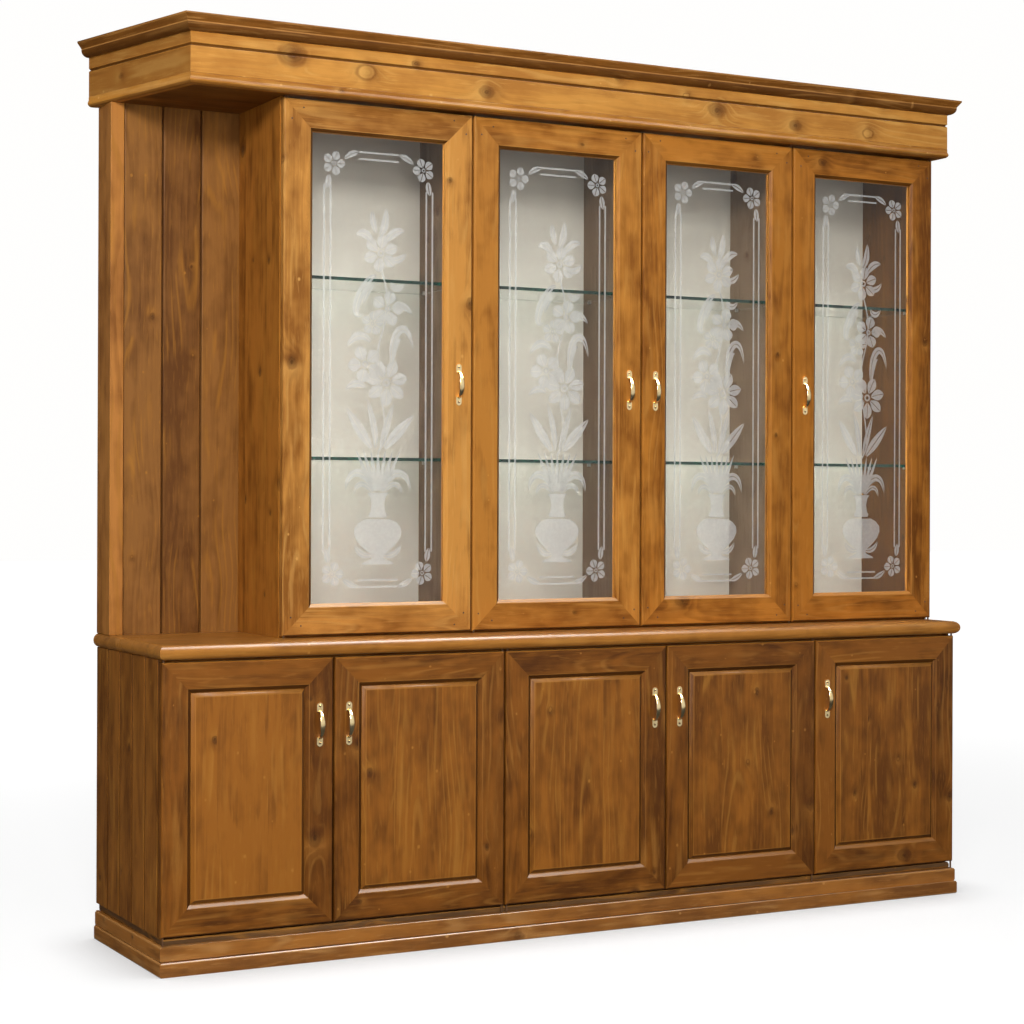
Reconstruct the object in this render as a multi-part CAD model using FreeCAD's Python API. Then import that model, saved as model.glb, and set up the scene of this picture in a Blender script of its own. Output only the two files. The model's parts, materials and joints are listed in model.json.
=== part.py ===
import FreeCAD
import Part
import math
import os
from collections import namedtuple

# Display dresser: a base with five panelled doors, a hutch with four glazed doors, an open niche at
# its left and a cornice with a splayed left end. Millimetres, real size. While modelling, X runs right
# from the base's left face, Y runs back from the front face of the base doors and Z runs up from the
# floor. The last step moves the origin to the floor under the middle of the bounding box.

# Base: door pitches from left to right, heights from the floor up, and panels
base_door_1_pitch = 423.0
base_door_2_pitch = 454.0
base_door_3_pitch = 465.0
base_door_4_pitch = 465.0
base_door_5_pitch = 468.0
skirting_lower_height = 33.0
skirting_lower_proud = 10.0
skirting_lower_end_proud = 4.0
skirting_upper_height = 35.0
skirting_upper_proud = 4.0
skirting_upper_end_proud = 1.5
recess_height = 19.0
recess_strip_setback = 9.0
base_door_height = 620.0
base_door_top_gap = 6.0
back_depth = 485.0
base_panel_thickness = 18.0
base_floor_thickness = 20.0
base_back_thickness = 8.0
base_rail_height = 25.0
base_rail_depth = 60.0
base_shelf_height = 385.0
base_shelf_setback = 18.0
cladding_thickness = 12.0
cladding_bevel = 4.0
side_board_count = 5

# Counter
counter_thickness = 34.0
counter_front_overhang = 16.0
counter_end_overhang = 8.0
counter_nose_share = 0.48

# Hutch: the niche, door pitches from left to right, panels and glass shelves
niche_width = 330.0
hutch_door_1_pitch = 505.0
hutch_door_2_pitch = 491.0
hutch_door_3_pitch = 475.0
hutch_setback = 100.0
hutch_door_bottom_gap = 5.0
hutch_door_height = 1275.0
hutch_door_top_gap = 5.0
hutch_panel_thickness = 20.0
hutch_partition_thickness = 18.0
hutch_floor_thickness = 18.0
hutch_back_inset = 95.0
hutch_back_thickness = 12.0
batten_width = 40.0
post_width = 34.0
post_depth = 100.0
post_round = 2.0
niche_board_count = 3
niche_board_bevel = 3.5
glass_shelf_thickness = 8.0
glass_shelf_lower_height = 1171.0
glass_shelf_upper_height = 1607.0
glass_shelf_setback = 28.0
peg_radius = 2.5
peg_reach = 9.0
peg_depth = 8.0
peg_inset = 40.0

# Cornice: plan of the frieze face, then section sizes
frieze_front_overhang = 33.0
frieze_right_overhang = 25.0
frieze_left_front = 88.0
frieze_left_back = -25.0
frieze_thickness = 20.0
frieze_height = 95.0
frieze_groove_height = 65.0
frieze_groove_half = 4.0
frieze_groove_depth = 5.0
bead_height = 25.0
bead_proud = 2.5
bead_under = 7.5
bead_flare_height = 6.0
crown_height = 38.0
crown_proud = 28.0
crown_round_start = 2.0
crown_round_proud = 18.0
crown_round_height = 17.0
crown_fillet_height = 3.0
crown_slope_height = 14.0
soffit_thickness = 14.0
dust_panel_thickness = 12.0
cornice_back_thickness = 18.0

# Doors: frames, panels, glass and beads
door_thickness = 20.0
base_frame_width = 70.0
base_frame_bevel_width = 9.0
base_frame_bevel_depth = 7.0
groove_front = 9.0
groove_width = 7.0
groove_depth = 8.0
panel_bevel_width = 9.0
panel_bevel_depth = 6.0
hutch_frame_width = 75.0
hutch_bevel_width = 8.0
hutch_bevel_depth = 6.0
rebate_front = 9.0
rebate_depth = 8.0
glass_thickness = 4.0

# Pivots: pins at the front outer corner of each hinge stile, and that corner's round
pivot_inset = 5.0
pin_radius = 2.5
pin_reach = 14.0
pin_seat_depth = 12.0

# Bow pulls and their screws
base_pull_drop = 156.0
hutch_pull_drop = 667.0
bow_half_span = 32.0
bow_rise = 20.0
bow_half_thickness = 2.4
bow_foot_half_width = 3.8
bow_middle_half_width = 6.4
bow_stations = 9
bow_sweep_share = 0.97
lug_radius = 7.5
lug_centre = 43.5
lug_inner_end = 29.5
lug_thickness = 2.2
screw_offset = 43.0
screw_radius = 1.6
screw_length = 15.0
screw_head_radius = 3.0
screw_head_top_radius = 2.2
screw_head_height = 1.3

# Clearances, and one overrun for every cut
door_gap = 4.0
door_back_gap = 1.5
pivot_clearance = 0.05
pin_end_gap = 0.6
seat_clearance = 0.02
tongue_clearance = 0.2
panel_reveal = 1.0
glass_clearance = 0.8
shelf_clearance = 0.6
screw_clearance = 0.05
cut_overrun = 5.0

# Worked out heights
skirting_top = skirting_lower_height + skirting_upper_height
base_door_bottom = skirting_top + recess_height
base_door_top = base_door_bottom + base_door_height
counter_bottom = base_door_top + base_door_top_gap
counter_top = counter_bottom + counter_thickness
hutch_door_bottom = counter_top + hutch_door_bottom_gap
hutch_door_top = hutch_door_bottom + hutch_door_height
soffit_height = hutch_door_top + hutch_door_top_gap
frieze_bottom = soffit_height + bead_height
frieze_top = frieze_bottom + frieze_height
overall_height = frieze_top + crown_height

# Worked out depths
base_carcass_front = door_thickness + door_back_gap
hutch_carcass_front = hutch_setback + door_thickness + door_back_gap
hutch_back_front = back_depth - hutch_back_inset
hutch_back_rear = hutch_back_front + hutch_back_thickness
base_back_front = back_depth - base_back_thickness
frieze_front = hutch_setback - frieze_front_overhang

# The corner round's middle point lies this share of its radius in from both sides
round_middle_share = 1 - math.sqrt(0.5)

Door = namedtuple("Door", "left right face bottom top below above hinge frame_width pull_drop")


def running_edges(start, pitches):
    """Places along X from a start and a list of pitches."""
    edges = [start]
    for pitch in pitches:
        edges.append(edges[-1] + pitch)
    return edges


base_edges = running_edges(0, [
    base_door_1_pitch,
    base_door_2_pitch,
    base_door_3_pitch,
    base_door_4_pitch,
    base_door_5_pitch,
])
base_width = base_edges[-1]

# The last hutch door ends flush with the base's right face
hutch_edges = running_edges(niche_width, [
    hutch_door_1_pitch,
    hutch_door_2_pitch,
    hutch_door_3_pitch,
])
hutch_edges.append(base_width)

base_hinges = ["left", "right", "left", "right", "right"]
hutch_hinges = ["left", "left", "right", "right"]

# Base partitions stand behind the second and the fourth door joint
base_partition_places = [base_edges[2], base_edges[4]]
base_inner_left = cladding_thickness + base_panel_thickness
base_inner_right = base_width - base_inner_left
hutch_inner_left = niche_width + hutch_panel_thickness
hutch_inner_right = base_width - hutch_panel_thickness


def vec(x, y, z):
    """Shorthand for a vector."""
    return FreeCAD.Vector(x, y, z)


def block(x_range, y_range, z_range):
    """Box between the low and high values of three ranges."""
    sizes = [high - low for low, high in (x_range, y_range, z_range)]
    box = Part.makeBox(*sizes)
    box.translate(vec(x_range[0], y_range[0], z_range[0]))
    return box


def upright_prism(plan, z_low, z_high):
    """Upright solid over a closed plan of X and Y points."""
    points = [vec(x, y, z_low) for x, y in plan]
    face = Part.Face(Part.makePolygon(points + points[:1]))
    return face.extrude(vec(0, 0, z_high - z_low))


def outline_face(outline, place):
    """Face inside an outline. A step of two numbers is a line's end, one of four an arc's middle and end."""
    here = place(*outline[0])
    edges = []
    for step in outline[1:]:
        there = place(*step[-2:])
        if len(step) == 4:
            edges.append(Part.Arc(here, place(*step[:2]), there).toShape())
        else:
            edges.append(Part.LineSegment(here, there).toShape())
        here = there
    edges.append(Part.LineSegment(here, place(*outline[0])).toShape())
    return Part.Face(Part.Wire(edges))


def upright_cylinder(radius, x, y, z_low, z_high):
    """Cylinder along Z."""
    return Part.makeCylinder(radius, z_high - z_low, vec(x, y, z_low))


def skirting(height_range, proud, end_proud):
    """Front, left and right skirting boards, mitred at the two front corners."""
    outer = (-end_proud, base_width + end_proud)
    inner = (cladding_thickness, base_width - cladding_thickness)
    front = [
        (outer[0], -proud),
        (outer[1], -proud),
        (inner[1], base_carcass_front),
        (inner[0], base_carcass_front),
    ]
    boards = [upright_prism(front, *height_range)]
    for outside, inside in zip(outer, inner):
        side = [
            (outside, -proud),
            (inside, base_carcass_front),
            (inside, back_depth),
            (outside, back_depth),
        ]
        boards.append(upright_prism(side, *height_range))
    return boards


def skirting_lower():
    """The lower plinth step, on the floor."""
    return skirting((0, skirting_lower_height), skirting_lower_proud, skirting_lower_end_proud)


def skirting_upper():
    """The upper plinth step, with seats for the base doors' bottom pins."""
    heights = (skirting_lower_height, skirting_top)
    boards = skirting(heights, skirting_upper_proud, skirting_upper_end_proud)
    return [board.cut(seats_below(base_doors)) for board in boards]


def recess_strip():
    """Strip in the shadow recess between the plinth and the doors."""
    heights = (skirting_top, base_door_bottom - door_gap)
    return skirting(heights, -recess_strip_setback, -recess_strip_setback)


def base_kick_boards():
    """Front and back boards between the base sides, under the base floor."""
    span = (base_inner_left, base_inner_right)
    height = (0, skirting_top)
    front = block(span, (base_carcass_front, base_carcass_front + base_panel_thickness), height)
    back = block(span, (base_back_front - base_panel_thickness, base_back_front), height)
    return [front, back]


def base_floor_panel():
    """Bottom panel of the base, on the kick boards."""
    span = (base_inner_left, base_inner_right)
    height = (skirting_top, skirting_top + base_floor_thickness)
    return [block(span, (base_carcass_front, base_back_front), height)]


def base_side_panels():
    """Left and right carcass sides, from the floor to the counter."""
    depth = (base_carcass_front, back_depth)
    height = (0, counter_bottom)
    left = block((cladding_thickness, base_inner_left), depth, height)
    right = block((base_inner_right, base_width - cladding_thickness), depth, height)
    return [left, right]


def base_side_boards():
    """Bevelled boards that clad both base sides."""
    boards = []
    pitch = (back_depth - base_carcass_front) / side_board_count
    for i in range(side_board_count):
        near = base_carcass_front + i * pitch
        far = near + pitch
        section = [
            (cladding_thickness, near),
            (cladding_bevel, near),
            (0, near + cladding_bevel),
            (0, far - cladding_bevel),
            (cladding_bevel, far),
            (cladding_thickness, far),
        ]
        mirrored = [(base_width - x, y) for x, y in section]
        boards.append(upright_prism(section, base_door_bottom, counter_bottom))
        boards.append(upright_prism(mirrored, base_door_bottom, counter_bottom))
    return boards


def base_bays():
    """Low and high X of the three base bays."""
    half = base_panel_thickness / 2
    first, second = base_partition_places
    return [
        (base_inner_left, first - half),
        (first + half, second - half),
        (second + half, base_inner_right),
    ]


def base_partitions():
    """Upright panels between the base bays, from the floor panel to the top rails."""
    half = base_panel_thickness / 2
    depth = (base_carcass_front, base_back_front)
    height = (skirting_top + base_floor_thickness, counter_bottom - base_rail_height)
    return [block((x - half, x + half), depth, height) for x in base_partition_places]


def base_rails():
    """Front and back rails under the counter."""
    span = (base_inner_left, base_inner_right)
    height = (counter_bottom - base_rail_height, counter_bottom)
    front = block(span, (base_carcass_front, base_carcass_front + base_rail_depth), height)
    back = block(span, (base_back_front - base_rail_depth, base_back_front), height)
    return [front, back]


def base_shelves():
    """One fixed shelf in each base bay."""
    depth = (base_carcass_front + base_shelf_setback, base_back_front)
    height = (base_shelf_height, base_shelf_height + base_panel_thickness)
    return [block(bay, depth, height) for bay in base_bays()]


def base_back_panel():
    """Back of the base, flush with the rear edges of its sides."""
    span = (base_inner_left, base_inner_right)
    return [block(span, (base_back_front, back_depth), (0, counter_bottom))]


def counter():
    """Counter top with a round nose on its front and both ends, and seats for the doors' pins."""
    span = (-counter_end_overhang, base_width + counter_end_overhang)
    slab = block(span, (-counter_front_overhang, back_depth), (counter_bottom, counter_top))
    middle = (counter_bottom + counter_top) / 2
    nose = []
    for edge in slab.Edges:
        centre = edge.CenterOfMass
        level = abs(centre.z - middle) * 2 > counter_thickness * counter_nose_share
        if level and centre.y < back_depth - cut_overrun:
            nose.append(edge)
    slab = slab.makeFillet(counter_thickness * counter_nose_share, nose)
    return [slab.cut(seats_above(base_doors)).cut(seats_below(hutch_doors))]


def hutch_side_panels():
    """Left side beside the niche, and the right side that runs to the rear."""
    height = (counter_top, soffit_height)
    left = block((niche_width, hutch_inner_left), (hutch_carcass_front, hutch_back_front), height)
    right = block((hutch_inner_right, base_width), (hutch_carcass_front, back_depth), height)
    return [left.cut(peg_holes()), right.cut(peg_holes())]


def hutch_floor_panel():
    """Bottom panel of the hutch, on the counter."""
    span = (hutch_inner_left, hutch_inner_right)
    height = (counter_top, counter_top + hutch_floor_thickness)
    return [block(span, (hutch_carcass_front, hutch_back_front), height)]


def hutch_bays():
    """Low and high X of the four hutch bays."""
    half = hutch_partition_thickness / 2
    lows = [hutch_inner_left] + [x + half for x in hutch_edges[1:-1]]
    highs = [x - half for x in hutch_edges[1:-1]] + [hutch_inner_right]
    return list(zip(lows, highs))


def hutch_partitions():
    """Upright panels between the hutch bays."""
    half = hutch_partition_thickness / 2
    depth = (hutch_carcass_front, hutch_back_front)
    height = (counter_top + hutch_floor_thickness, soffit_height)
    panels = [block((x - half, x + half), depth, height) for x in hutch_edges[1:-1]]
    return [panel.cut(peg_holes()) for panel in panels]


def hutch_back_panel():
    """Pale panel behind the four bays."""
    span = (hutch_inner_left, hutch_inner_right)
    return [block(span, (hutch_back_front, hutch_back_rear), (counter_top, soffit_height))]


def hutch_back_battens():
    """Uprights behind the back panel, one behind the niche side and one behind each partition."""
    half = batten_width / 2
    places = [niche_width + hutch_panel_thickness / 2] + hutch_edges[1:-1]
    depth = (hutch_back_rear, back_depth)
    return [block((x - half, x + half), depth, (counter_top, soffit_height)) for x in places]


def niche_back_boards():
    """Bevelled boards at the back of the niche. The last runs on behind the hutch side."""
    boards = []
    pitch = (niche_width - post_width) / niche_board_count
    edges = running_edges(post_width, [pitch] * niche_board_count)
    edges[-1] = hutch_inner_left
    for low, high in zip(edges[:-1], edges[1:]):
        section = [
            (low, hutch_back_rear),
            (low, hutch_back_front + niche_board_bevel),
            (low + niche_board_bevel, hutch_back_front),
            (high - niche_board_bevel, hutch_back_front),
            (high, hutch_back_front + niche_board_bevel),
            (high, hutch_back_rear),
        ]
        boards.append(upright_prism(section, counter_top, soffit_height))
    return boards


def niche_post():
    """Slim post at the niche's outer corner, with rounded front edges."""
    front = back_depth - post_depth
    middle = post_round * round_middle_share
    outline = [
        (0, front + post_round),
        (middle, front + middle, post_round, front),
        (post_width - post_round, front),
        (post_width - middle, front + middle, post_width, front + post_round),
        (post_width, back_depth),
        (0, back_depth),
    ]
    face = outline_face(outline, lambda x, y: vec(x, y, counter_top))
    return [face.extrude(vec(0, 0, soffit_height - counter_top))]


def glass_shelf_depth():
    """Front and back Y of the glass shelves."""
    return (hutch_carcass_front + glass_shelf_setback, hutch_back_front - shelf_clearance)


def glass_shelves():
    """Two glass shelves in each hutch bay."""
    shelves = []
    for low, high in hutch_bays():
        span = (low + shelf_clearance, high - shelf_clearance)
        for height in (glass_shelf_lower_height, glass_shelf_upper_height):
            shelves.append(block(span, glass_shelf_depth(), (height, height + glass_shelf_thickness)))
    return shelves


def peg_places():
    """Wall X, direction into the bay, Y and axis height of each shelf peg."""
    front, back = glass_shelf_depth()
    places = []
    for low, high in hutch_bays():
        for wall, inward in ((low, 1), (high, -1)):
            for y in (front + peg_inset, back - peg_inset):
                for height in (glass_shelf_lower_height, glass_shelf_upper_height):
                    places.append((wall, inward, y, height - peg_radius))
    return places


def shelf_pegs():
    """Four pegs under each glass shelf, set into the bay's walls."""
    pegs = []
    for wall, inward, y, z in peg_places():
        start = vec(wall - inward * peg_depth, y, z)
        pegs.append(Part.makeCylinder(peg_radius, peg_depth + peg_reach, start, vec(inward, 0, 0)))
    return pegs


def peg_holes():
    """Blind holes for the shelf pegs."""
    holes = []
    for wall, inward, y, z in peg_places():
        start = vec(wall - inward * peg_depth, y, z)
        radius = peg_radius + seat_clearance
        holes.append(Part.makeCylinder(radius, peg_depth + cut_overrun, start, vec(inward, 0, 0)))
    return Part.makeCompound(holes)


def cornice_path():
    """Corners of the frieze face in plan, from the right rear round to the left rear."""
    right = base_width + frieze_right_overhang
    return [
        vec(right, back_depth, 0),
        vec(right, frieze_front, 0),
        vec(frieze_left_front, frieze_front, 0),
        vec(frieze_left_back, back_depth, 0),
    ]


def cornice_normals():
    """Outward direction of each cornice run."""
    path = cornice_path()
    normals = []
    for begin, end in zip(path[:-1], path[1:]):
        along = (end - begin).normalize()
        normals.append(vec(-along.y, along.x, 0))
    return normals


def cornice_mitres():
    """At each corner, how far its point moves when both runs move out by one."""
    normals = cornice_normals()
    mitres = [vec(1 / normals[0].x, 0, 0)]
    for one, other in zip(normals[:-1], normals[1:]):
        mitres.append((one + other) * (1 / (1 + one.dot(other))))
    mitres.append(vec(1 / normals[-1].x, 0, 0))
    return mitres


def cornice_plan(offset):
    """Cornice corners moved out by an offset, as X and Y points."""
    points = [corner + mitre * offset for corner, mitre in zip(cornice_path(), cornice_mitres())]
    return [(point.x, point.y) for point in points]


def cornice_runs(outline):
    """Right, front and splayed left run of one moulding, mitred where they meet."""
    path = cornice_path()
    lead = crown_proud + frieze_thickness + cut_overrun
    inside = cornice_plan(-frieze_thickness - cut_overrun)
    outside = cornice_plan(crown_proud + cut_overrun)
    runs = []
    for i, outward in enumerate(cornice_normals()):
        reach = path[i + 1] - path[i]
        ahead = reach * (lead / reach.Length)
        begin = path[i] - ahead
        face = outline_face(outline, lambda d, z: begin + outward * d + vec(0, 0, z))
        length = face.extrude(reach + ahead * 2)
        plan = [inside[i], outside[i], outside[i + 1], inside[i + 1]]
        trim = upright_prism(plan, soffit_height - cut_overrun, overall_height + cut_overrun)
        runs.append(length.common(trim).Solids[0])
    return runs


def quarter_round(start, end):
    """Arc step from a level start to an upright end that bulges out and down between them."""
    across, rise = end[0] - start[0], end[1] - start[1]
    return (end[0] - across * round_middle_share, start[1] + rise * round_middle_share) + end


def cornice_bead():
    """Bead at the foot of the cornice: a flat face that flares out to an even round below."""
    under = (-bead_under, soffit_height)
    widest = (bead_proud, soffit_height + bead_under + bead_proud)
    outline = [
        (-frieze_thickness, soffit_height),
        under,
        quarter_round(under, widest),
        (0, widest[1] + bead_flare_height),
        (0, frieze_bottom),
        (-frieze_thickness, frieze_bottom),
    ]
    return cornice_runs(outline)


def cornice_frieze():
    """Flat frieze boards with one V groove along them."""
    groove = frieze_bottom + frieze_groove_height
    outline = [
        (-frieze_thickness, frieze_bottom),
        (0, frieze_bottom),
        (0, groove - frieze_groove_half),
        (-frieze_groove_depth, groove),
        (0, groove + frieze_groove_half),
        (0, frieze_top),
        (-frieze_thickness, frieze_top),
    ]
    return cornice_runs(outline)


def cornice_crown():
    """Crown of a quarter round, a narrow upright fillet and a slope out to the top edge."""
    start = (crown_round_start, frieze_top)
    round_top = frieze_top + crown_round_height
    slope_start = round_top + crown_fillet_height
    outline = [
        (-frieze_thickness, frieze_top),
        start,
        quarter_round(start, (crown_round_proud, round_top)),
        (crown_round_proud, slope_start),
        (crown_proud, slope_start + crown_slope_height),
        (crown_proud, overall_height),
        (-frieze_thickness, overall_height),
    ]
    return cornice_runs(outline)


def cornice_soffit():
    """Panel under the cornice, over the niche and the hutch, with seats for the doors' top pins."""
    panel = upright_prism(cornice_plan(-frieze_thickness), soffit_height, soffit_height + soffit_thickness)
    return [panel.cut(seats_above(hutch_doors))]


def cornice_dust_panel():
    """Panel that closes the cornice level with the top of the frieze."""
    return [upright_prism(cornice_plan(-frieze_thickness), frieze_top - dust_panel_thickness, frieze_top)]


def cornice_back_board():
    """Board between soffit and dust panel along the rear of the cornice."""
    plan = cornice_plan(-frieze_thickness)
    strip = [
        (plan[0][0], back_depth - cornice_back_thickness),
        plan[0],
        (frieze_left_back - crown_proud, back_depth),
        (frieze_left_back - crown_proud, back_depth - cornice_back_thickness),
    ]
    low = soffit_height + soffit_thickness
    high = frieze_top - dust_panel_thickness
    board = upright_prism(strip, low, high)
    return [board.common(upright_prism(plan, low, high)).Solids[0]]


def make_doors(edges, hinges, face, heights, seats, frame_width, pull_drop):
    """Doors between neighbouring edges, with half a gap at each side."""
    doors = []
    half = door_gap / 2
    for low, high, hinge in zip(edges[:-1], edges[1:], hinges):
        span = (low + half, high - half)
        doors.append(Door(*span, face, *heights, *seats, hinge, frame_width, pull_drop))
    return doors


base_doors = make_doors(
    base_edges,
    base_hinges,
    0,
    (base_door_bottom, base_door_top),
    (skirting_top, counter_bottom),
    base_frame_width,
    base_pull_drop,
)
hutch_doors = make_doors(
    hutch_edges,
    hutch_hinges,
    hutch_setback,
    (hutch_door_bottom, hutch_door_top),
    (counter_top, soffit_height),
    hutch_frame_width,
    hutch_pull_drop,
)


def pivot_axis(door):
    """X and Y of a door's pivot, at the front outer corner of its hinge stile."""
    x = door.left + pivot_inset if door.hinge == "left" else door.right - pivot_inset
    return x, door.face + pivot_inset


def seats_below(doors):
    """Blind holes for the doors' bottom pins in the piece under them."""
    radius = pin_radius + seat_clearance
    holes = []
    for door in doors:
        low = door.below - pin_seat_depth
        holes.append(upright_cylinder(radius, *pivot_axis(door), low, door.below + cut_overrun))
    return Part.makeCompound(holes)


def seats_above(doors):
    """Blind holes for the doors' top pins in the piece over them."""
    radius = pin_radius + seat_clearance
    holes = []
    for door in doors:
        high = door.above + pin_seat_depth
        holes.append(upright_cylinder(radius, *pivot_axis(door), door.above - cut_overrun, high))
    return Part.makeCompound(holes)


def pivot_pins():
    """Top and bottom pin of every door."""
    pins = []
    for door in base_doors + hutch_doors:
        axis = pivot_axis(door)
        low = door.below - pin_seat_depth
        high = door.above + pin_seat_depth
        pins.append(upright_cylinder(pin_radius, *axis, low, door.bottom + pin_reach))
        pins.append(upright_cylinder(pin_radius, *axis, door.top - pin_reach, high))
    return pins


def pivot_bores(door):
    """Bores for the pins in the ends of a door's hinge stile."""
    radius = pin_radius + pivot_clearance
    axis = pivot_axis(door)
    depth = pin_reach + pin_end_gap
    bottom = upright_cylinder(radius, *axis, door.bottom - cut_overrun, door.bottom + depth)
    top = upright_cylinder(radius, *axis, door.top - depth, door.top + cut_overrun)
    return [bottom, top]


def pull_place(door):
    """Middle of a door's pull on the face of its free stile."""
    inset = door.frame_width / 2
    x = door.right - inset if door.hinge == "left" else door.left + inset
    return vec(x, door.face, door.top - door.pull_drop)


def screw_holes(door):
    """Pilot holes for the pull's screws."""
    depth = screw_length - lug_thickness + cut_overrun
    holes = []
    for side in (-1, 1):
        start = pull_place(door) + vec(0, -cut_overrun, side * screw_offset)
        holes.append(Part.makeCylinder(screw_radius + screw_clearance, depth, start, vec(0, 1, 0)))
    return holes


def mitre_prism(frame_width, length):
    """Upright trapezoid that trims a frame member to its two mitres."""
    corners = [(0, 0), (frame_width, frame_width), (frame_width, length - frame_width), (0, length)]
    points = [vec(x, -cut_overrun, z) for x, z in corners]
    face = Part.Face(Part.makePolygon(points + points[:1]))
    return face.extrude(vec(0, door_thickness + cut_overrun * 2, 0))


def mitred_frame(outline, door):
    """Two stiles and two rails from one section, which starts at the door's outer edge."""
    width = door.right - door.left
    height = door.top - door.bottom
    section = outline_face(outline, lambda u, y: vec(u, y, 0))
    stile = section.extrude(vec(0, 0, height)).common(mitre_prism(door.frame_width, height)).Solids[0]
    rail = section.extrude(vec(0, 0, width)).common(mitre_prism(door.frame_width, width)).Solids[0]
    rail.rotate(vec(0, 0, 0), vec(0, 1, 0), -90)
    rail.translate(vec(width, 0, 0))
    members = [stile, rail]
    for member in (stile, rail):
        opposite = member.copy()
        opposite.rotate(vec(width / 2, 0, height / 2), vec(0, 1, 0), 180)
        members.append(opposite)
    for member in members:
        member.translate(vec(door.left, door.face, door.bottom))
    return members


def drilled(members, door):
    """Frame members with the door's pivot bores and pilot holes."""
    holes = Part.makeCompound(pivot_bores(door) + screw_holes(door))
    return [member.cut(holes).Solids[0] for member in members]


def outer_round():
    """Start of a frame section: the rounded front outer edge and the outer edge itself."""
    middle = pivot_inset * round_middle_share
    return [(pivot_inset, 0), (middle, middle, 0, pivot_inset), (0, door_thickness)]


def base_door_frame(door):
    """Grooved and bevelled frame of a base door."""
    groove_back = groove_front + groove_width
    groove_floor = base_frame_width - groove_depth
    outline = outer_round() + [
        (base_frame_width, door_thickness),
        (base_frame_width, groove_back),
        (groove_floor, groove_back),
        (groove_floor, groove_front),
        (base_frame_width, groove_front),
        (base_frame_width, base_frame_bevel_depth),
        (base_frame_width - base_frame_bevel_width, 0),
    ]
    return drilled(mitred_frame(outline, door), door)


def panel_rectangle(door, inset, y):
    """Closed rectangle inside a door's edges."""
    corners = [
        (door.left + inset, door.bottom + inset),
        (door.right - inset, door.bottom + inset),
        (door.right - inset, door.top - inset),
        (door.left + inset, door.top - inset),
    ]
    points = [vec(x, door.face + y, z) for x, z in corners]
    return Part.makePolygon(points + points[:1])


def panel_slab(door, inset, front, back):
    """Flat slab inside a door's edges."""
    face = Part.Face(panel_rectangle(door, inset, front))
    return face.extrude(vec(0, back - front, 0))


def base_door_panel(door):
    """Raised panel, flush with the frame, with bevelled edges and a tongue in the frame's groove."""
    edge = base_frame_width + panel_reveal
    tongue_edge = base_frame_width - groove_depth + tongue_clearance
    tongue_front = groove_front + tongue_clearance
    tongue_back = groove_front + groove_width - tongue_clearance
    rings = [
        panel_rectangle(door, edge + panel_bevel_width, 0),
        panel_rectangle(door, edge, panel_bevel_depth),
    ]
    field = Part.makeLoft(rings, True, True)
    body = panel_slab(door, edge, panel_bevel_depth, tongue_back)
    tongue = panel_slab(door, tongue_edge, tongue_front, tongue_back)
    return [field.fuse(body).fuse(tongue).removeSplitter().Solids[0]]


def hutch_door_frame(door):
    """Bevelled frame of a glazed door, with a rebate behind for its pane."""
    rebate_edge = hutch_frame_width - rebate_depth
    outline = outer_round() + [
        (rebate_edge, door_thickness),
        (rebate_edge, rebate_front),
        (hutch_frame_width, rebate_front),
        (hutch_frame_width, hutch_bevel_depth),
        (hutch_frame_width - hutch_bevel_width, 0),
    ]
    return drilled(mitred_frame(outline, door), door)


def hutch_door_glass(door):
    """Pane against the front of the rebate."""
    inset = hutch_frame_width - rebate_depth + glass_clearance
    return [panel_slab(door, inset, rebate_front, rebate_front + glass_thickness)]


def hutch_door_beads(door):
    """Four mitred beads that hold the pane from behind."""
    rebate_edge = hutch_frame_width - rebate_depth
    bead_front = rebate_front + glass_thickness
    outline = [
        (rebate_edge, bead_front),
        (rebate_edge, door_thickness),
        (hutch_frame_width, door_thickness),
        (hutch_frame_width, bead_front),
    ]
    return mitred_frame(outline, door)


def bow_section(turn):
    """Elliptic section of the bow, square to its arch at an angle from the middle."""
    rise = bow_rise * math.cos(turn)
    spread = math.cos(turn) ** 2
    half_width = bow_foot_half_width + (bow_middle_half_width - bow_foot_half_width) * spread
    ring = Part.Wire(Part.Ellipse(vec(0, 0, 0), half_width, bow_half_thickness).toShape())
    lean = math.atan2(bow_rise * math.sin(turn), bow_half_span * math.cos(turn))
    ring.rotate(vec(0, 0, 0), vec(1, 0, 0), -math.degrees(lean))
    ring.translate(vec(0, -rise, bow_half_span * math.sin(turn)))
    return ring


def pull_lug(side):
    """Round-ended foot plate of the pull, drilled for its screw."""
    span = sorted((side * lug_inner_end, side * lug_centre))
    plate = block((-lug_radius, lug_radius), (-lug_thickness, 0), span)
    outward = vec(0, -1, 0)
    end = Part.makeCylinder(lug_radius, lug_thickness, vec(0, 0, side * lug_centre), outward)
    start = vec(0, cut_overrun, side * screw_offset)
    drill = Part.makeCylinder(screw_radius + screw_clearance, cut_overrun * 2, start, outward)
    return plate.fuse(end).cut(drill)


def pull_screw(side):
    """Screw through a lug into the stile."""
    inward = vec(0, 1, 0)
    seat = vec(0, -lug_thickness, side * screw_offset)
    shank = Part.makeCylinder(screw_radius, screw_length, seat, inward)
    head = Part.makeCone(screw_head_radius, screw_head_top_radius, screw_head_height, seat, -inward)
    return shank.fuse(head).removeSplitter().Solids[0]


def door_pull(door):
    """Bow pull with its two screws."""
    limit = bow_sweep_share * math.pi / 2
    turns = [limit * (2 * i / (bow_stations - 1) - 1) for i in range(bow_stations)]
    arch = Part.makeLoft([bow_section(turn) for turn in turns], True, False)
    bow = arch.fuse([pull_lug(-1), pull_lug(1)]).removeSplitter().Solids[0]
    pieces = [bow, pull_screw(-1), pull_screw(1)]
    for piece in pieces:
        piece.translate(pull_place(door))
    return pieces


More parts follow.
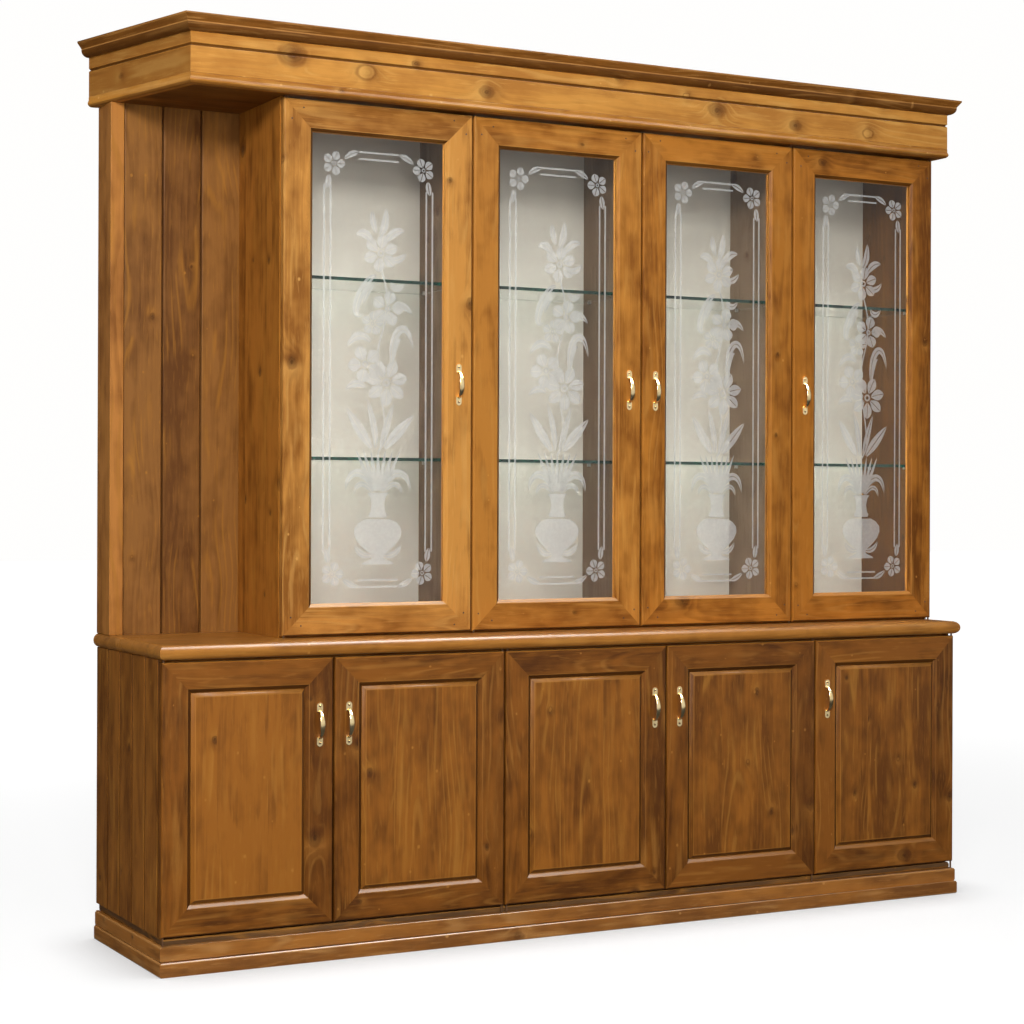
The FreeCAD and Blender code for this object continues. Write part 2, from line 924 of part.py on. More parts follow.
def all_nodes():
    """Every node's name with its solids."""
    nodes = {
        "plinth_skirting_lower": skirting_lower(),
        "plinth_skirting_upper": skirting_upper(),
        "plinth_recess_strip": recess_strip(),
        "base_kick_boards": base_kick_boards(),
        "base_floor_panel": base_floor_panel(),
        "base_side_panels": base_side_panels(),
        "base_side_boards": base_side_boards(),
        "base_partitions": base_partitions(),
        "base_rails": base_rails(),
        "base_shelves": base_shelves(),
        "base_back_panel": base_back_panel(),
        "counter_top": counter(),
        "hutch_side_panels": hutch_side_panels(),
        "hutch_floor_panel": hutch_floor_panel(),
        "hutch_partitions": hutch_partitions(),
        "hutch_back_panel": hutch_back_panel(),
        "hutch_back_battens": hutch_back_battens(),
        "niche_back_boards": niche_back_boards(),
        "niche_post": niche_post(),
        "glass_shelves": glass_shelves(),
        "shelf_pegs": shelf_pegs(),
        "cornice_bead": cornice_bead(),
        "cornice_frieze": cornice_frieze(),
        "cornice_crown": cornice_crown(),
        "cornice_soffit": cornice_soffit(),
        "cornice_dust_panel": cornice_dust_panel(),
        "cornice_back_board": cornice_back_board(),
        "pivot_pins": pivot_pins(),
    }
    for number, door in enumerate(base_doors, start=1):
        nodes[f"base_door_{number}_frame"] = base_door_frame(door)
        nodes[f"base_door_{number}_panel"] = base_door_panel(door)
        nodes[f"base_door_{number}_pull"] = door_pull(door)
    for number, door in enumerate(hutch_doors, start=1):
        nodes[f"hutch_door_{number}_frame"] = hutch_door_frame(door)
        nodes[f"hutch_door_{number}_glass"] = hutch_door_glass(door)
        nodes[f"hutch_door_{number}_beads"] = hutch_door_beads(door)
        nodes[f"hutch_door_{number}_pull"] = door_pull(door)
    return nodes


def origin_shift():
    """Move that puts the origin on the floor under the middle of the bounding box."""
    crown = [x for x, y in cornice_plan(crown_proud)]
    pull_front = -bow_rise - bow_half_thickness
    return vec(-(min(crown) + max(crown)) / 2, -(pull_front + back_depth) / 2, 0)


os.makedirs("parts", exist_ok=True)
for name, solids in all_nodes().items():
    piece = solids[0] if len(solids) == 1 else Part.makeCompound(solids)
    piece.translate(origin_shift())
    piece.exportStep(f"parts/{name}.step")
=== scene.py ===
"""Looks of the dresser with hutch: stained knotty pine, etched panes, glass shelves and brass pulls."""

import json
import logging
import math
import random
from dataclasses import dataclass, field
from enum import Enum

import bmesh
import bpy
import numpy as np
from mathutils import Matrix, Vector

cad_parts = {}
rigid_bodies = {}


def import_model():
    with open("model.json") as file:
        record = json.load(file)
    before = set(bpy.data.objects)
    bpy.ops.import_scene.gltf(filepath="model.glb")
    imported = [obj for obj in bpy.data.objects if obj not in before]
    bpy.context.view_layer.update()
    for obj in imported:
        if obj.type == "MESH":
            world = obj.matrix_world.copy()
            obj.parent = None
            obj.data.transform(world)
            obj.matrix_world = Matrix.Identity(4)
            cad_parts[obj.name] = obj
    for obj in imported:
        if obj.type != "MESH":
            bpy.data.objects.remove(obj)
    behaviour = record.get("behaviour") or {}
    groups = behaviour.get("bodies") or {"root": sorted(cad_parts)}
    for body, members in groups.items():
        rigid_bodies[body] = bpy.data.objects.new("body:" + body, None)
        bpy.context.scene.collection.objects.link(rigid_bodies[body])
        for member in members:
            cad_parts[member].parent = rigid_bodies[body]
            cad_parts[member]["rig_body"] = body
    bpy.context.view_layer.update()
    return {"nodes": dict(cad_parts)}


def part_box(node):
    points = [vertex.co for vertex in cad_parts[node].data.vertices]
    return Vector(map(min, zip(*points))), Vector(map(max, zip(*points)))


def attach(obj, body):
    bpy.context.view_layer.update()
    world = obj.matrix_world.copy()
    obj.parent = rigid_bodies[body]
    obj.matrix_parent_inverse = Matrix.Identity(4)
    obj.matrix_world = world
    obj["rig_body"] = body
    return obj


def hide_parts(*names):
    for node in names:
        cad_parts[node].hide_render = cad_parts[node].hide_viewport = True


for leftover in list(bpy.data.objects):
    bpy.data.objects.remove(leftover)
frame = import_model()
LOG = logging.getLogger("dresser")

Colour = tuple[float, float, float]
Place = tuple[float, float, float]
Point = tuple[float, float]
Input = bpy.types.NodeSocket | float | tuple


class Slot(Enum):
    """Material slots of the record."""

    CARCASS = "carcass_wood"
    BASE_DOOR = "base_door_wood"
    PANEL = "panel_wood"
    HUTCH_DOOR = "hutch_door_wood"
    CORNICE = "cornice_wood"
    CROWN = "crown_wood"
    ROUGH = "rough_wood"
    PALE = "pale_panel"
    PANE = "door_glass"
    SHELF = "shelf_glass"
    BRASS = "pull_brass"
    STEEL = "pin_steel"
    BRONZE = "pin_bronze"


# Slots of the nodes that keep their own shape.
PLAIN = (Slot.PALE, Slot.PANE, Slot.SHELF, Slot.BRASS, Slot.STEEL, Slot.BRONZE)


class Graph:
    """Short ways to add and join shader nodes in one node tree."""

    def __init__(self, tree: bpy.types.NodeTree) -> None:
        """Keeps the tree that the nodes go into."""
        self.tree = tree

    def node(self, kind: str, **settings: object) -> bpy.types.Node:
        """Adds a node.

        Args:
            kind: Node type without the ShaderNode prefix.
            settings: Node properties to set.

        Returns:
            The new node.
        """
        made = self.tree.nodes.new(kind if kind.startswith("NodeGroup") else "ShaderNode" + kind)
        for name, value in settings.items():
            setattr(made, name, value)
        return made

    def feed(self, socket: bpy.types.NodeSocket, value: Input) -> None:
        """Links a socket into an input, or sets the input's own value.

        Args:
            socket: The input.
            value: A socket, a number or a colour.
        """
        if isinstance(value, bpy.types.NodeSocket):
            self.tree.links.new(value, socket)
        elif socket.type == "RGBA":
            socket.default_value = (*value[:3], 1.0)
        else:
            socket.default_value = value

    def fill(self, node: bpy.types.Node, *values: Input) -> bpy.types.Node:
        """Feeds a node's first inputs in order.

        Args:
            node: The node.
            values: What goes into each input.

        Returns:
            The same node.
        """
        for socket, value in zip(node.inputs, values):
            self.feed(socket, value)
        return node

    def math(self, operation: str, *values: Input, clamp: bool = False) -> bpy.types.NodeSocket:
        """Adds a math node.

        Args:
            operation: Blender's name of the operation.
            values: Its inputs, as sockets or numbers.
            clamp: Whether the result is held between 0 and 1.

        Returns:
            The result socket.
        """
        return self.fill(self.node("Math", operation=operation, use_clamp=clamp), *values).outputs[0]

    def times(self, first: Input, second: Input) -> bpy.types.NodeSocket:
        """Product of two values."""
        return self.math("MULTIPLY", first, second)

    def plus(self, first: Input, second: Input) -> bpy.types.NodeSocket:
        """Sum of two values."""
        return self.math("ADD", first, second)

    def minus(self, first: Input, second: Input) -> bpy.types.NodeSocket:
        """First value less the second."""
        return self.math("SUBTRACT", first, second)

    def over(self, first: Input, second: Input) -> bpy.types.NodeSocket:
        """First value divided by the second."""
        return self.math("DIVIDE", first, second)

    def scaled(self, value: Input, factor: Input, offset: Input) -> bpy.types.NodeSocket:
        """Value times a factor, plus an offset."""
        return self.math("MULTIPLY_ADD", value, factor, offset)

    def swing(self, value: Input, width: float) -> bpy.types.NodeSocket:
        """Value between 0 and 1, spread over a width with nought in its middle."""
        return self.scaled(value, width, -width / 2)

    def hypotenuse(self, first: Input, second: Input) -> bpy.types.NodeSocket:
        """Longest side of a right triangle."""
        return self.math("SQRT", self.plus(self.times(first, first), self.times(second, second)))

    def step(self, value: Input, low: Input, high: Input) -> bpy.types.NodeSocket:
        """Smooth step of a value from 0 at low to 1 at high."""
        return self.fill(self.node("MapRange", interpolation_type="SMOOTHSTEP"), value, low, high).outputs[0]

    def fade(self, value: Input, low: Input, high: Input) -> bpy.types.NodeSocket:
        """Smooth step of a value from 1 at low to 0 at high."""
        return self.minus(1.0, self.step(value, low, high))

    def pulse(self, value: Input, rise: Point, fall: Point) -> bpy.types.NodeSocket:
        """Smooth pulse that rises over one span of a value and falls over another."""
        return self.times(self.step(value, *rise), self.fade(value, *fall))

    def mix(self, factor: Input, first: Input, second: Input) -> bpy.types.NodeSocket:
        """Mixes two colours.

        Args:
            factor: Share of the second colour.
            first: Colour at factor 0.
            second: Colour at factor 1.

        Returns:
            The mixed colour socket.
        """
        made = self.node("Mix", data_type="RGBA")
        self.feed(made.inputs["Factor"], factor)
        colours = [socket for socket in made.inputs if socket.type == "RGBA"]
        for socket, given in zip(colours, (first, second)):
            self.feed(socket, given)
        return next(socket for socket in made.outputs if socket.type == "RGBA")

    def join(self, x: Input, y: Input, z: Input = 0.0) -> bpy.types.NodeSocket:
        """Vector from three values."""
        return self.fill(self.node("CombineXYZ"), x, y, z).outputs[0]

    def split(self, vector: Input) -> list[bpy.types.NodeSocket]:
        """X, Y and Z of a vector."""
        return list(self.fill(self.node("SeparateXYZ"), vector).outputs)

    def picks(self, colour: Input) -> list[bpy.types.NodeSocket]:
        """Three random values from a random colour."""
        return list(self.fill(self.node("SeparateColor"), colour).outputs)

    def noise(self, vector: Input, scale: float, detail: float = 2.0) -> bpy.types.NodeSocket:
        """Noise value.

        Args:
            vector: Where it is taken.
            scale: Spots to one unit of the vector.
            detail: Detail of the noise.

        Returns:
            The noise socket.
        """
        made = self.node("TexNoise")
        for label, value in (("Vector", vector), ("Scale", scale), ("Detail", detail)):
            self.feed(made.inputs[label], value)
        return made.outputs[0]

    def place(self, tree: bpy.types.NodeTree, values: dict[str, Input]) -> bpy.types.Node:
        """Places a shader node group.

        Args:
            tree: The group.
            values: What goes into each of its inputs.

        Returns:
            The group node.
        """
        made = self.node("Group", node_tree=tree)
        for label, value in values.items():
            self.feed(made.inputs[label], value)
        return made

    def dress(self, shader: bpy.types.Node, group: bpy.types.Node, relief: float = 0.0,
              depth: float = 0.0) -> None:
        """Feeds a group's colour, roughness and height into a shader.

        Args:
            shader: The material's Principled shader.
            group: The group node.
            relief: Strength of the bump, or 0 for none.
            depth: Depth of the bump in metres.
        """
        self.feed(shader.inputs["Base Color"], group.outputs["Color"])
        self.feed(shader.inputs["Roughness"], group.outputs["Roughness"])
        if relief:
            bump = self.node("Bump")
            values = {"Strength": relief, "Distance": depth, "Height": group.outputs["Height"]}
            for label, value in values.items():
                self.feed(bump.inputs[label], value)
            self.feed(shader.inputs["Normal"], bump.outputs["Normal"])


def open_group(name: str, inputs: list[tuple[str, str]], outputs: list[tuple[str, str]]) -> tuple[
        Graph, bpy.types.NodeOutputs, bpy.types.NodeInputs]:
    """Starts a shader node group with named sockets.

    Args:
        name: Name of the group.
        inputs: Name and socket type of each input.
        outputs: Name and socket type of each output.

    Returns:
        The group's graph, the sockets of what comes in and the sockets of what goes out.
    """
    tree = bpy.data.node_groups.new(name, "ShaderNodeTree")
    for direction, sockets in (("INPUT", inputs), ("OUTPUT", outputs)):
        for label, kind in sockets:
            tree.interface.new_socket(label, in_out=direction, socket_type="NodeSocket" + kind)
    graph = Graph(tree)
    return graph, graph.node("NodeGroupInput").outputs, graph.node("NodeGroupOutput").inputs


@dataclass(frozen=True)
class Streaks:
    """Noise drawn out along the grain: length and width of its spots in metres, and an offset of its own.

    Where it marks the wood, the mark comes up from the low to the high noise value, to its strength.
    """

    run: float
    pitch: float
    seed: float
    detail: float = 2.0
    low: float = 0.0
    high: float = 1.0
    strength: float = 1.0


@dataclass(frozen=True)
class Knot:
    """Values of the nearest knot at every place of a board's face."""

    ahead: bpy.types.NodeSocket
    rarity: bpy.types.NodeSocket
    there: bpy.types.NodeSocket
    edge: bpy.types.NodeSocket
    bulge: bpy.types.NodeSocket
    push: bpy.types.NodeSocket


@dataclass
class PineFigure:
    """Shared grain of knotty pine, worked out from each board's own grain coordinates in metres."""

    knot_run: float = 0.30
    knot_pitch: float = 0.105
    knot_least: float = 0.0030
    knot_spread: float = 0.0085
    knot_stretch: float = 0.72
    knot_outline: Streaks = Streaks(0.02, 0.014, 3.0, strength=0.008)
    bulge_reach: float = 2.7
    bulge_limit: float = 0.027
    bulge_push: float = 2.2
    sunny_span: Point = (-0.010, 0.018)
    shade_strength: float = 0.66
    sunny_loss: float = 0.60
    sunny_strength: float = 0.70
    core_span: Point = (0.50, 1.20)
    eye_rings: float = 9.0
    eye_swing: float = 0.18
    eye_strength: float = 0.66
    dead_share: float = 0.90
    sound_loss: float = 0.45
    rim_rise: Point = (0.80, 1.05)
    rim_fall: Point = (1.10, 1.55)
    rim_strength: float = 0.50
    speck_pitch: float = 0.060
    speck_least: float = 0.0016
    speck_spread: float = 0.0026
    speck_stretch: float = 0.8
    speck_share: float = 0.11
    speck_span: Point = (0.5, 1.1)
    speck_strength: float = 0.75
    stave_mix: float = 91.7
    stave_slip: float = 9.0
    stave_offset: float = 0.07
    stave_weight: float = 0.36
    tone_mix: float = 37.0
    tone_weight: float = 0.80
    drift_scale: float = 1.7
    drift_mix: float = 5.0
    drift_depth: float = 0.09
    sway_scale: float = 2.3
    sway_mix: float = 9.0
    sway_seed: float = 4.0
    sway_width: float = 0.06
    waver: Streaks = Streaks(0.33, 0.045, 41.0, strength=1.3)
    late_rise: Point = (0.1, 0.8)
    late_fall: Point = (0.82, 1.0)
    late_least: float = 0.3
    late_spread: float = 0.9
    late_middle: float = 0.3
    line_rise: Point = (0.52, 0.76)
    line_fall: Point = (0.82, 0.98)
    cloud: Streaks = Streaks(0.40, 0.080, 0.0, detail=3.0, low=0.42, high=0.64, strength=2.1)
    cloud_start: float = -0.64
    band: Streaks = Streaks(1.00, 0.022, 7.0, strength=0.60)
    blotch: Streaks = Streaks(0.075, 0.045, 53.0, strength=1.75)
    fibre: Streaks = Streaks(0.10, 0.0032, 13.0, strength=0.70)
    thread: Streaks = Streaks(0.55, 0.024, 19.0, low=0.60, high=0.78, strength=0.60)
    gleam: Streaks = Streaks(0.24, 0.032, 29.0, low=0.57, high=0.76, strength=0.55)
    fleck: Streaks = Streaks(0.050, 0.0055, 61.0, low=0.58, high=0.72, strength=0.28)
    flame: Streaks = Streaks(0.22, 0.060, 71.0, detail=1.0, low=0.50, high=0.62, strength=0.48)
    ruddy_mix: float = 7.3
    ruddy_span: Point = (0.5, 1.0)
    ruddy_strength: float = 0.16
    # Spread and strength of the painted shade and painted highlight read from each face's mark.
    painted_light_span: Point = (0.2, 0.8)
    painted_shade_strength: float = 0.72
    painted_highlight_strength: float = 0.85
    fibre_roughness: float = 0.16
    cloud_roughness: float = 0.12
    fibre_height: float = 0.55
    late_height: float = 0.30
    spot_depth: float = 0.3

    def __post_init__(self) -> None:
        """Builds the node group."""
        self.graph, self.given, self.result = open_group(
            "knotty_pine",
            [("Grain", "Vector"), ("Tone", "Float"), ("Pooled", "Float"),
             *((label, "Color") for label in ("Pale", "Deep", "Heart", "Knot", "Gold")),
             *((label, "Float") for label in ("Ring Width", "Contrast", "Knot Share", "Knot Size",
                                              "Stave Width", "Satin"))],
            [("Color", "Color"), ("Roughness", "Float"), ("Height", "Float")])
        self.tree = self.graph.tree
        self.build()

    def staves(self) -> tuple[bpy.types.NodeSocket, ...]:
        """Splits the width into glued staves, each with its own run of grain.

        Returns:
            Along, across and depth coordinates, and a random value of the stave.
        """
        g, given = self.graph, self.given
        along, across, depth = g.split(given["Grain"])
        stave = g.math("ROUND", g.over(across, given["Stave Width"]))
        local = g.minus(across, g.times(stave, given["Stave Width"]))
        chance = g.node("TexWhiteNoise", noise_dimensions="2D")
        g.feed(chance.inputs["Vector"], g.join(stave, g.times(given["Tone"], self.stave_mix)))
        slip, offset, shade = g.picks(chance.outputs["Color"])
        along = g.plus(along, g.times(slip, self.stave_slip))
        return along, g.plus(local, g.swing(offset, self.stave_offset)), depth, shade

    def scatter(self, place: list[Input], run: float, pitch: float) -> tuple[bpy.types.NodeSocket, ...]:
        """Scatters one spot in each cell of the board face.

        Args:
            place: Along, across and depth coordinates.
            run: Length of a cell along the grain.
            pitch: Width of a cell across it.

        Returns:
            Way from the spot along and across the grain, and two random values of the spot.
        """
        g = self.graph
        along, across, _ = place
        cells = g.node("TexVoronoi", voronoi_dimensions="2D")
        cells.inputs["Scale"].default_value = 1.0
        g.feed(cells.inputs["Vector"], g.join(g.over(along, run), g.over(across, pitch)))
        column, row, _ = g.split(cells.outputs["Position"])
        rarity, girth, _ = g.picks(cells.outputs["Color"])
        return g.minus(along, g.times(column, run)), g.minus(across, g.times(row, pitch)), rarity, girth

    def drawn(self, place: list[Input], streaks: Streaks) -> bpy.types.NodeSocket:
        """Noise drawn out along the grain.

        Args:
            place: Along, across and depth coordinates.
            streaks: Size and offset of the noise.

        Returns:
            The noise value.
        """
        g = self.graph
        along, across, depth = place
        layer = g.scaled(self.given["Tone"], self.tone_mix, streaks.seed)
        spot = g.join(g.over(along, streaks.run), g.over(across, streaks.pitch),
                      g.plus(g.over(depth, streaks.pitch), layer))
        return g.noise(spot, 1.0, streaks.detail)

    def mark(self, place: list[Input], streaks: Streaks) -> bpy.types.NodeSocket:
        """Mask of the streaks that mark the wood."""
        return self.graph.step(self.drawn(place, streaks), streaks.low, streaks.high)

    def tint(self, colour: Input, stain: str, *masks: Input, strength: float = 1.0) -> bpy.types.NodeSocket:
        """Lays one of the finish's colours over the wood.

        Args:
            colour: The wood so far.
            stain: Name of the colour among the group's inputs.
            masks: Where it goes.
            strength: Its share where every mask is 1.

        Returns:
            The tinted colour.
        """
        share = masks[0]
        for factor in (*masks[1:], strength):
            share = self.graph.times(share, factor)
        return self.graph.mix(share, colour, self.given[stain])

    def knots(self, place: list[Input]) -> Knot:
        """Sets knots into the board.

        Args:
            place: Along, across and depth coordinates.

        Returns:
            Values of the nearest knot.
        """
        g = self.graph
        ahead, aside, rarity, girth = self.scatter(place, self.knot_run, self.knot_pitch)
        uneven = g.swing(self.drawn(place, self.knot_outline), self.knot_outline.strength)
        away = g.plus(g.hypotenuse(g.times(ahead, self.knot_stretch), aside), uneven)
        size = g.scaled(g.math("POWER", girth, 2.0), self.knot_spread, self.knot_least)
        radius = g.times(size, self.given["Knot Size"])
        there = g.math("LESS_THAN", rarity, self.given["Knot Share"])
        near = g.over(away, g.math("MINIMUM", g.times(radius, self.bulge_reach), self.bulge_limit))
        bulge = g.times(there, g.math("EXPONENT", g.times(g.times(near, near), -1.0)))
        push = g.times(g.times(bulge, radius), self.bulge_push)
        return Knot(ahead, rarity, there, g.over(away, radius), bulge, push)

    def rings(self, place: list[Input], chance: Input, push: Input) -> tuple[bpy.types.NodeSocket, ...]:
        """Dark late wood and fine lines of the growth rings.

        Args:
            place: Along, across and depth coordinates.
            chance: Random value of the stave.
            push: How far the knots push the rings aside.

        Returns:
            Share of late wood, and a value near 1 on the fine line at the end of each ring.
        """
        g, given = self.graph, self.given
        along, across, depth = place
        drift = g.noise(g.join(along, g.times(chance, self.drift_mix), given["Tone"]), self.drift_scale, 1.0)
        sway = g.noise(g.join(along, g.times(chance, self.sway_mix), self.sway_seed), self.sway_scale, 1.0)
        ring = g.hypotenuse(g.plus(across, g.swing(sway, self.sway_width)),
                            g.plus(depth, g.swing(drift, self.drift_depth)))
        waver = g.times(self.drawn(place, self.waver), self.waver.strength)
        count = g.plus(g.over(g.plus(ring, push), given["Ring Width"]), waver)
        share = g.math("FRACT", count)
        strength = g.node("TexWhiteNoise", noise_dimensions="1D")
        g.feed(strength.inputs["W"], g.math("FLOOR", count))
        late = g.times(g.pulse(share, self.late_rise, self.late_fall),
                       g.scaled(strength.outputs["Value"], self.late_spread, self.late_least))
        return late, g.pulse(share, self.line_rise, self.line_fall)

    def sound_wood(self, place: list[Input], chance: Input, rings: tuple[Input, ...], cloud: Input,
                   fibre: Input) -> bpy.types.NodeSocket:
        """Colour of the wood between the knots.

        Args:
            place: Along, across and depth coordinates.
            chance: Random value of the stave.
            rings: Late wood and fine lines of the growth rings.
            cloud: Broad clouds of the stain.
            fibre: Fine fibres.

        Returns:
            The colour.
        """
        g, given = self.graph, self.given
        late, line = rings
        darkness = g.scaled(cloud, self.cloud.strength, self.cloud_start)
        shades = ((self.drawn(place, self.band), self.band.strength),
                  (self.drawn(place, self.blotch), self.blotch.strength),
                  (fibre, self.fibre.strength),
                  (given["Tone"], self.tone_weight),
                  (chance, self.stave_weight))
        for value, weight in shades:
            darkness = g.plus(darkness, g.swing(value, weight))
        ringed = g.times(g.minus(late, self.late_middle), given["Contrast"])
        colour = g.mix(g.math("ADD", darkness, ringed, clamp=True), given["Pale"], given["Deep"])
        colour = self.tint(colour, "Gold", self.mark(place, self.gleam), strength=self.gleam.strength)
        colour = self.tint(colour, "Gold", line, self.mark(place, self.flame), strength=self.flame.strength)
        colour = self.tint(colour, "Gold", self.mark(place, self.fleck), strength=self.fleck.strength)
        ruddy = g.step(g.math("FRACT", g.times(given["Tone"], self.ruddy_mix)), *self.ruddy_span)
        colour = self.tint(colour, "Heart", ruddy, strength=self.ruddy_strength)
        cloudy = g.step(cloud, self.cloud.low, self.cloud.high)
        thready = self.mark(place, self.thread)
        return self.tint(colour, "Heart", thready, cloudy, strength=self.thread.strength)

    def knotted(self, colour: Input, knot: Knot) -> tuple[bpy.types.NodeSocket, ...]:
        """Draws the knots: a dark and a sunny side of the swelling, a ringed eye and a dark rim.

        Args:
            colour: The wood so far.
            knot: Values of the nearest knot.

        Returns:
            The colour, and a mask of the knots' cores.
        """
        g, given = self.graph, self.given
        sunny = g.step(knot.ahead, *self.sunny_span)
        shaded = g.scaled(sunny, -self.sunny_loss, self.shade_strength)
        colour = self.tint(colour, "Heart", knot.bulge, shaded)
        colour = self.tint(colour, "Gold", knot.bulge, sunny, strength=self.sunny_strength)
        core = g.times(knot.there, g.fade(knot.edge, *self.core_span))
        eye = g.scaled(g.math("SINE", g.times(knot.edge, self.eye_rings)), self.eye_swing, self.eye_strength)
        sound = g.math("GREATER_THAN", knot.rarity, g.times(given["Knot Share"], self.dead_share))
        eye = g.times(eye, g.scaled(sound, -self.sound_loss, 1.0))
        colour = g.mix(g.times(core, eye), colour, g.mix(sound, given["Knot"], given["Gold"]))
        rim = g.pulse(knot.edge, self.rim_rise, self.rim_fall)
        return self.tint(colour, "Heart", rim, knot.there, strength=self.rim_strength), core

    def specked(self, colour: Input, place: list[Input]) -> tuple[bpy.types.NodeSocket, ...]:
        """Draws small pale specks.

        Args:
            colour: The wood so far.
            place: Along, across and depth coordinates.

        Returns:
            The colour, and a mask of the specks.
        """
        g = self.graph
        ahead, aside, rarity, girth = self.scatter(place, self.speck_pitch, self.speck_pitch)
        away = g.hypotenuse(g.times(ahead, self.speck_stretch), aside)
        edge = g.over(away, g.scaled(girth, self.speck_spread, self.speck_least))
        speck = g.times(g.math("LESS_THAN", rarity, self.speck_share), g.fade(edge, *self.speck_span))
        return self.tint(colour, "Gold", speck, strength=self.speck_strength), speck

    def build(self) -> None:
        """Joins rings, streaks, knots, specks, painted shade and painted highlight into colour, roughness
        and height.
        """
        g, given = self.graph, self.given
        *place, chance = self.staves()
        knot = self.knots(place)
        rings = self.rings(place, chance, knot.push)
        cloud, fibre = self.drawn(place, self.cloud), self.drawn(place, self.fibre)
        colour = self.sound_wood(place, chance, rings, cloud, fibre)
        colour, core = self.knotted(colour, knot)
        colour, speck = self.specked(colour, place)
        # Painted shade: faces marked above 0 darken towards the knot colour.
        pooled = g.step(given["Pooled"], *self.painted_light_span)
        colour = self.tint(colour, "Knot", pooled, strength=self.painted_shade_strength)
        # Painted highlight: faces marked below 0 lighten towards the gold colour.
        painted_highlight = g.step(g.times(given["Pooled"], -1.0), *self.painted_light_span)
        colour = self.tint(colour, "Gold", painted_highlight, cloud, strength=self.painted_highlight_strength)
        rough = g.plus(given["Satin"], g.swing(fibre, self.fibre_roughness))
        rough = g.plus(rough, g.swing(cloud, self.cloud_roughness))
        height = g.plus(g.times(fibre, self.fibre_height), g.times(rings[0], self.late_height))
        height = g.plus(height, g.times(g.plus(core, speck), -self.spot_depth))
        for label, value in (("Color", colour), ("Roughness", rough), ("Height", height)):
            g.feed(self.result[label], value)


@dataclass
class FineMottle:
    """Shared small unevenness of colour and gloss on painted, metal and frosted surfaces."""

    broad_detail: float = 3.0
    fine_scale: float = 9.0
    worn_span: Point = (0.35, 0.7)

    def __post_init__(self) -> None:
        """Builds the node group."""
        g, given, result = open_group(
            "fine_mottle",
            [("Base", "Color"), ("Worn", "Color"),
             ("Scale", "Float"), ("Satin", "Float"), ("Spread", "Float")],
            [("Color", "Color"), ("Roughness", "Float"), ("Height", "Float"), ("Mask", "Float")])
        self.tree = g.tree
        place = g.node("VectorMath", operation="SCALE")
        g.feed(place.inputs[0], g.node("TexCoord").outputs["Object"])
        g.feed(place.inputs["Scale"], given["Scale"])
        broad = g.noise(place.outputs[0], 1.0, self.broad_detail)
        fine = g.noise(place.outputs[0], self.fine_scale)
        mask = g.step(broad, *self.worn_span)
        colour = g.mix(mask, given["Base"], given["Worn"])
        rough = g.plus(given["Satin"], g.times(g.minus(broad, 0.5), given["Spread"]))
        for label, value in (("Color", colour), ("Roughness", rough), ("Height", fine), ("Mask", mask)):
            g.feed(result[label], value)


def new_material(name: str) -> tuple[bpy.types.Material, Graph, bpy.types.Node, bpy.types.Node]:
    """Starts a material.

    Args:
        name: Name of the material.

    Returns:
        The material, its graph, its Principled shader and its output node.
    """
    made = bpy.data.materials.new(name)
    made.use_nodes = True
    graph = Graph(made.node_tree)
    return made, graph, made.node_tree.nodes["Principled BSDF"], made.node_tree.nodes["Material Output"]


@dataclass(frozen=True)
class PineFinish:
    """One stain of the knotty pine: colours in linear values, ring width and staves in metres."""

    name: str
    pale: Colour
    deep: Colour
    gold: Colour = (0.430, 0.180, 0.028)
    heart: Colour = (0.070, 0.020, 0.004)
    knot: Colour = (0.038, 0.012, 0.003)
    ring_width: float = 0.011
    contrast: float = 0.32
    knot_share: float = 0.34
    knot_size: float = 1.0
    stave_width: float = 10.0
    satin: float = 0.34
    gloss: float = 0.22
    relief: float = 0.14
    relief_depth: float = 0.0006

    def material(self, figure: PineFigure) -> bpy.types.Material:
        """Makes the material.

        Args:
            figure: The shared grain.

        Returns:
            The finished material.
        """
        made, g, shader, _ = new_material(self.name)
        # The face mark read here carries each face's painted shade and painted highlight.
        marks = {name: g.node("Attribute", attribute_type="GEOMETRY", attribute_name=name).outputs
                 for name in ("grain", "tone", "pooled")}
        wood = g.place(figure.tree, {
            "Grain": marks["grain"]["Vector"], "Tone": marks["tone"]["Fac"],
            "Pooled": marks["pooled"]["Fac"],
            "Pale": self.pale, "Deep": self.deep, "Heart": self.heart, "Knot": self.knot, "Gold": self.gold,
            "Ring Width": self.ring_width, "Contrast": self.contrast, "Knot Share": self.knot_share,
            "Knot Size": self.knot_size, "Stave Width": self.stave_width, "Satin": self.satin})
        g.dress(shader, wood, self.relief, self.relief_depth)
        shader.inputs["Specular IOR Level"].default_value = self.gloss
        return made


@dataclass(frozen=True)
class MottleFinish:
    """A painted or metal finish with a fine unevenness."""

    name: str
    base: Colour
    worn: Colour
    scale: float
    satin: float
    spread: float = 0.1
    metallic: float = 0.0
    relief: float = 0.05
    relief_depth: float = 0.0003

    def material(self, mottle: FineMottle) -> bpy.types.Material:
        """Makes the material.

        Args:
            mottle: The shared unevenness.

        Returns:
            The finished material.
        """
        made, g, shader, _ = new_material(self.name)
        spots = g.place(mottle.tree, {"Base": self.base, "Worn": self.worn, "Scale": self.scale,
                                      "Satin": self.satin, "Spread": self.spread})
        g.dress(shader, spots, self.relief, self.relief_depth)
        shader.inputs["Metallic"].default_value = self.metallic
        return made


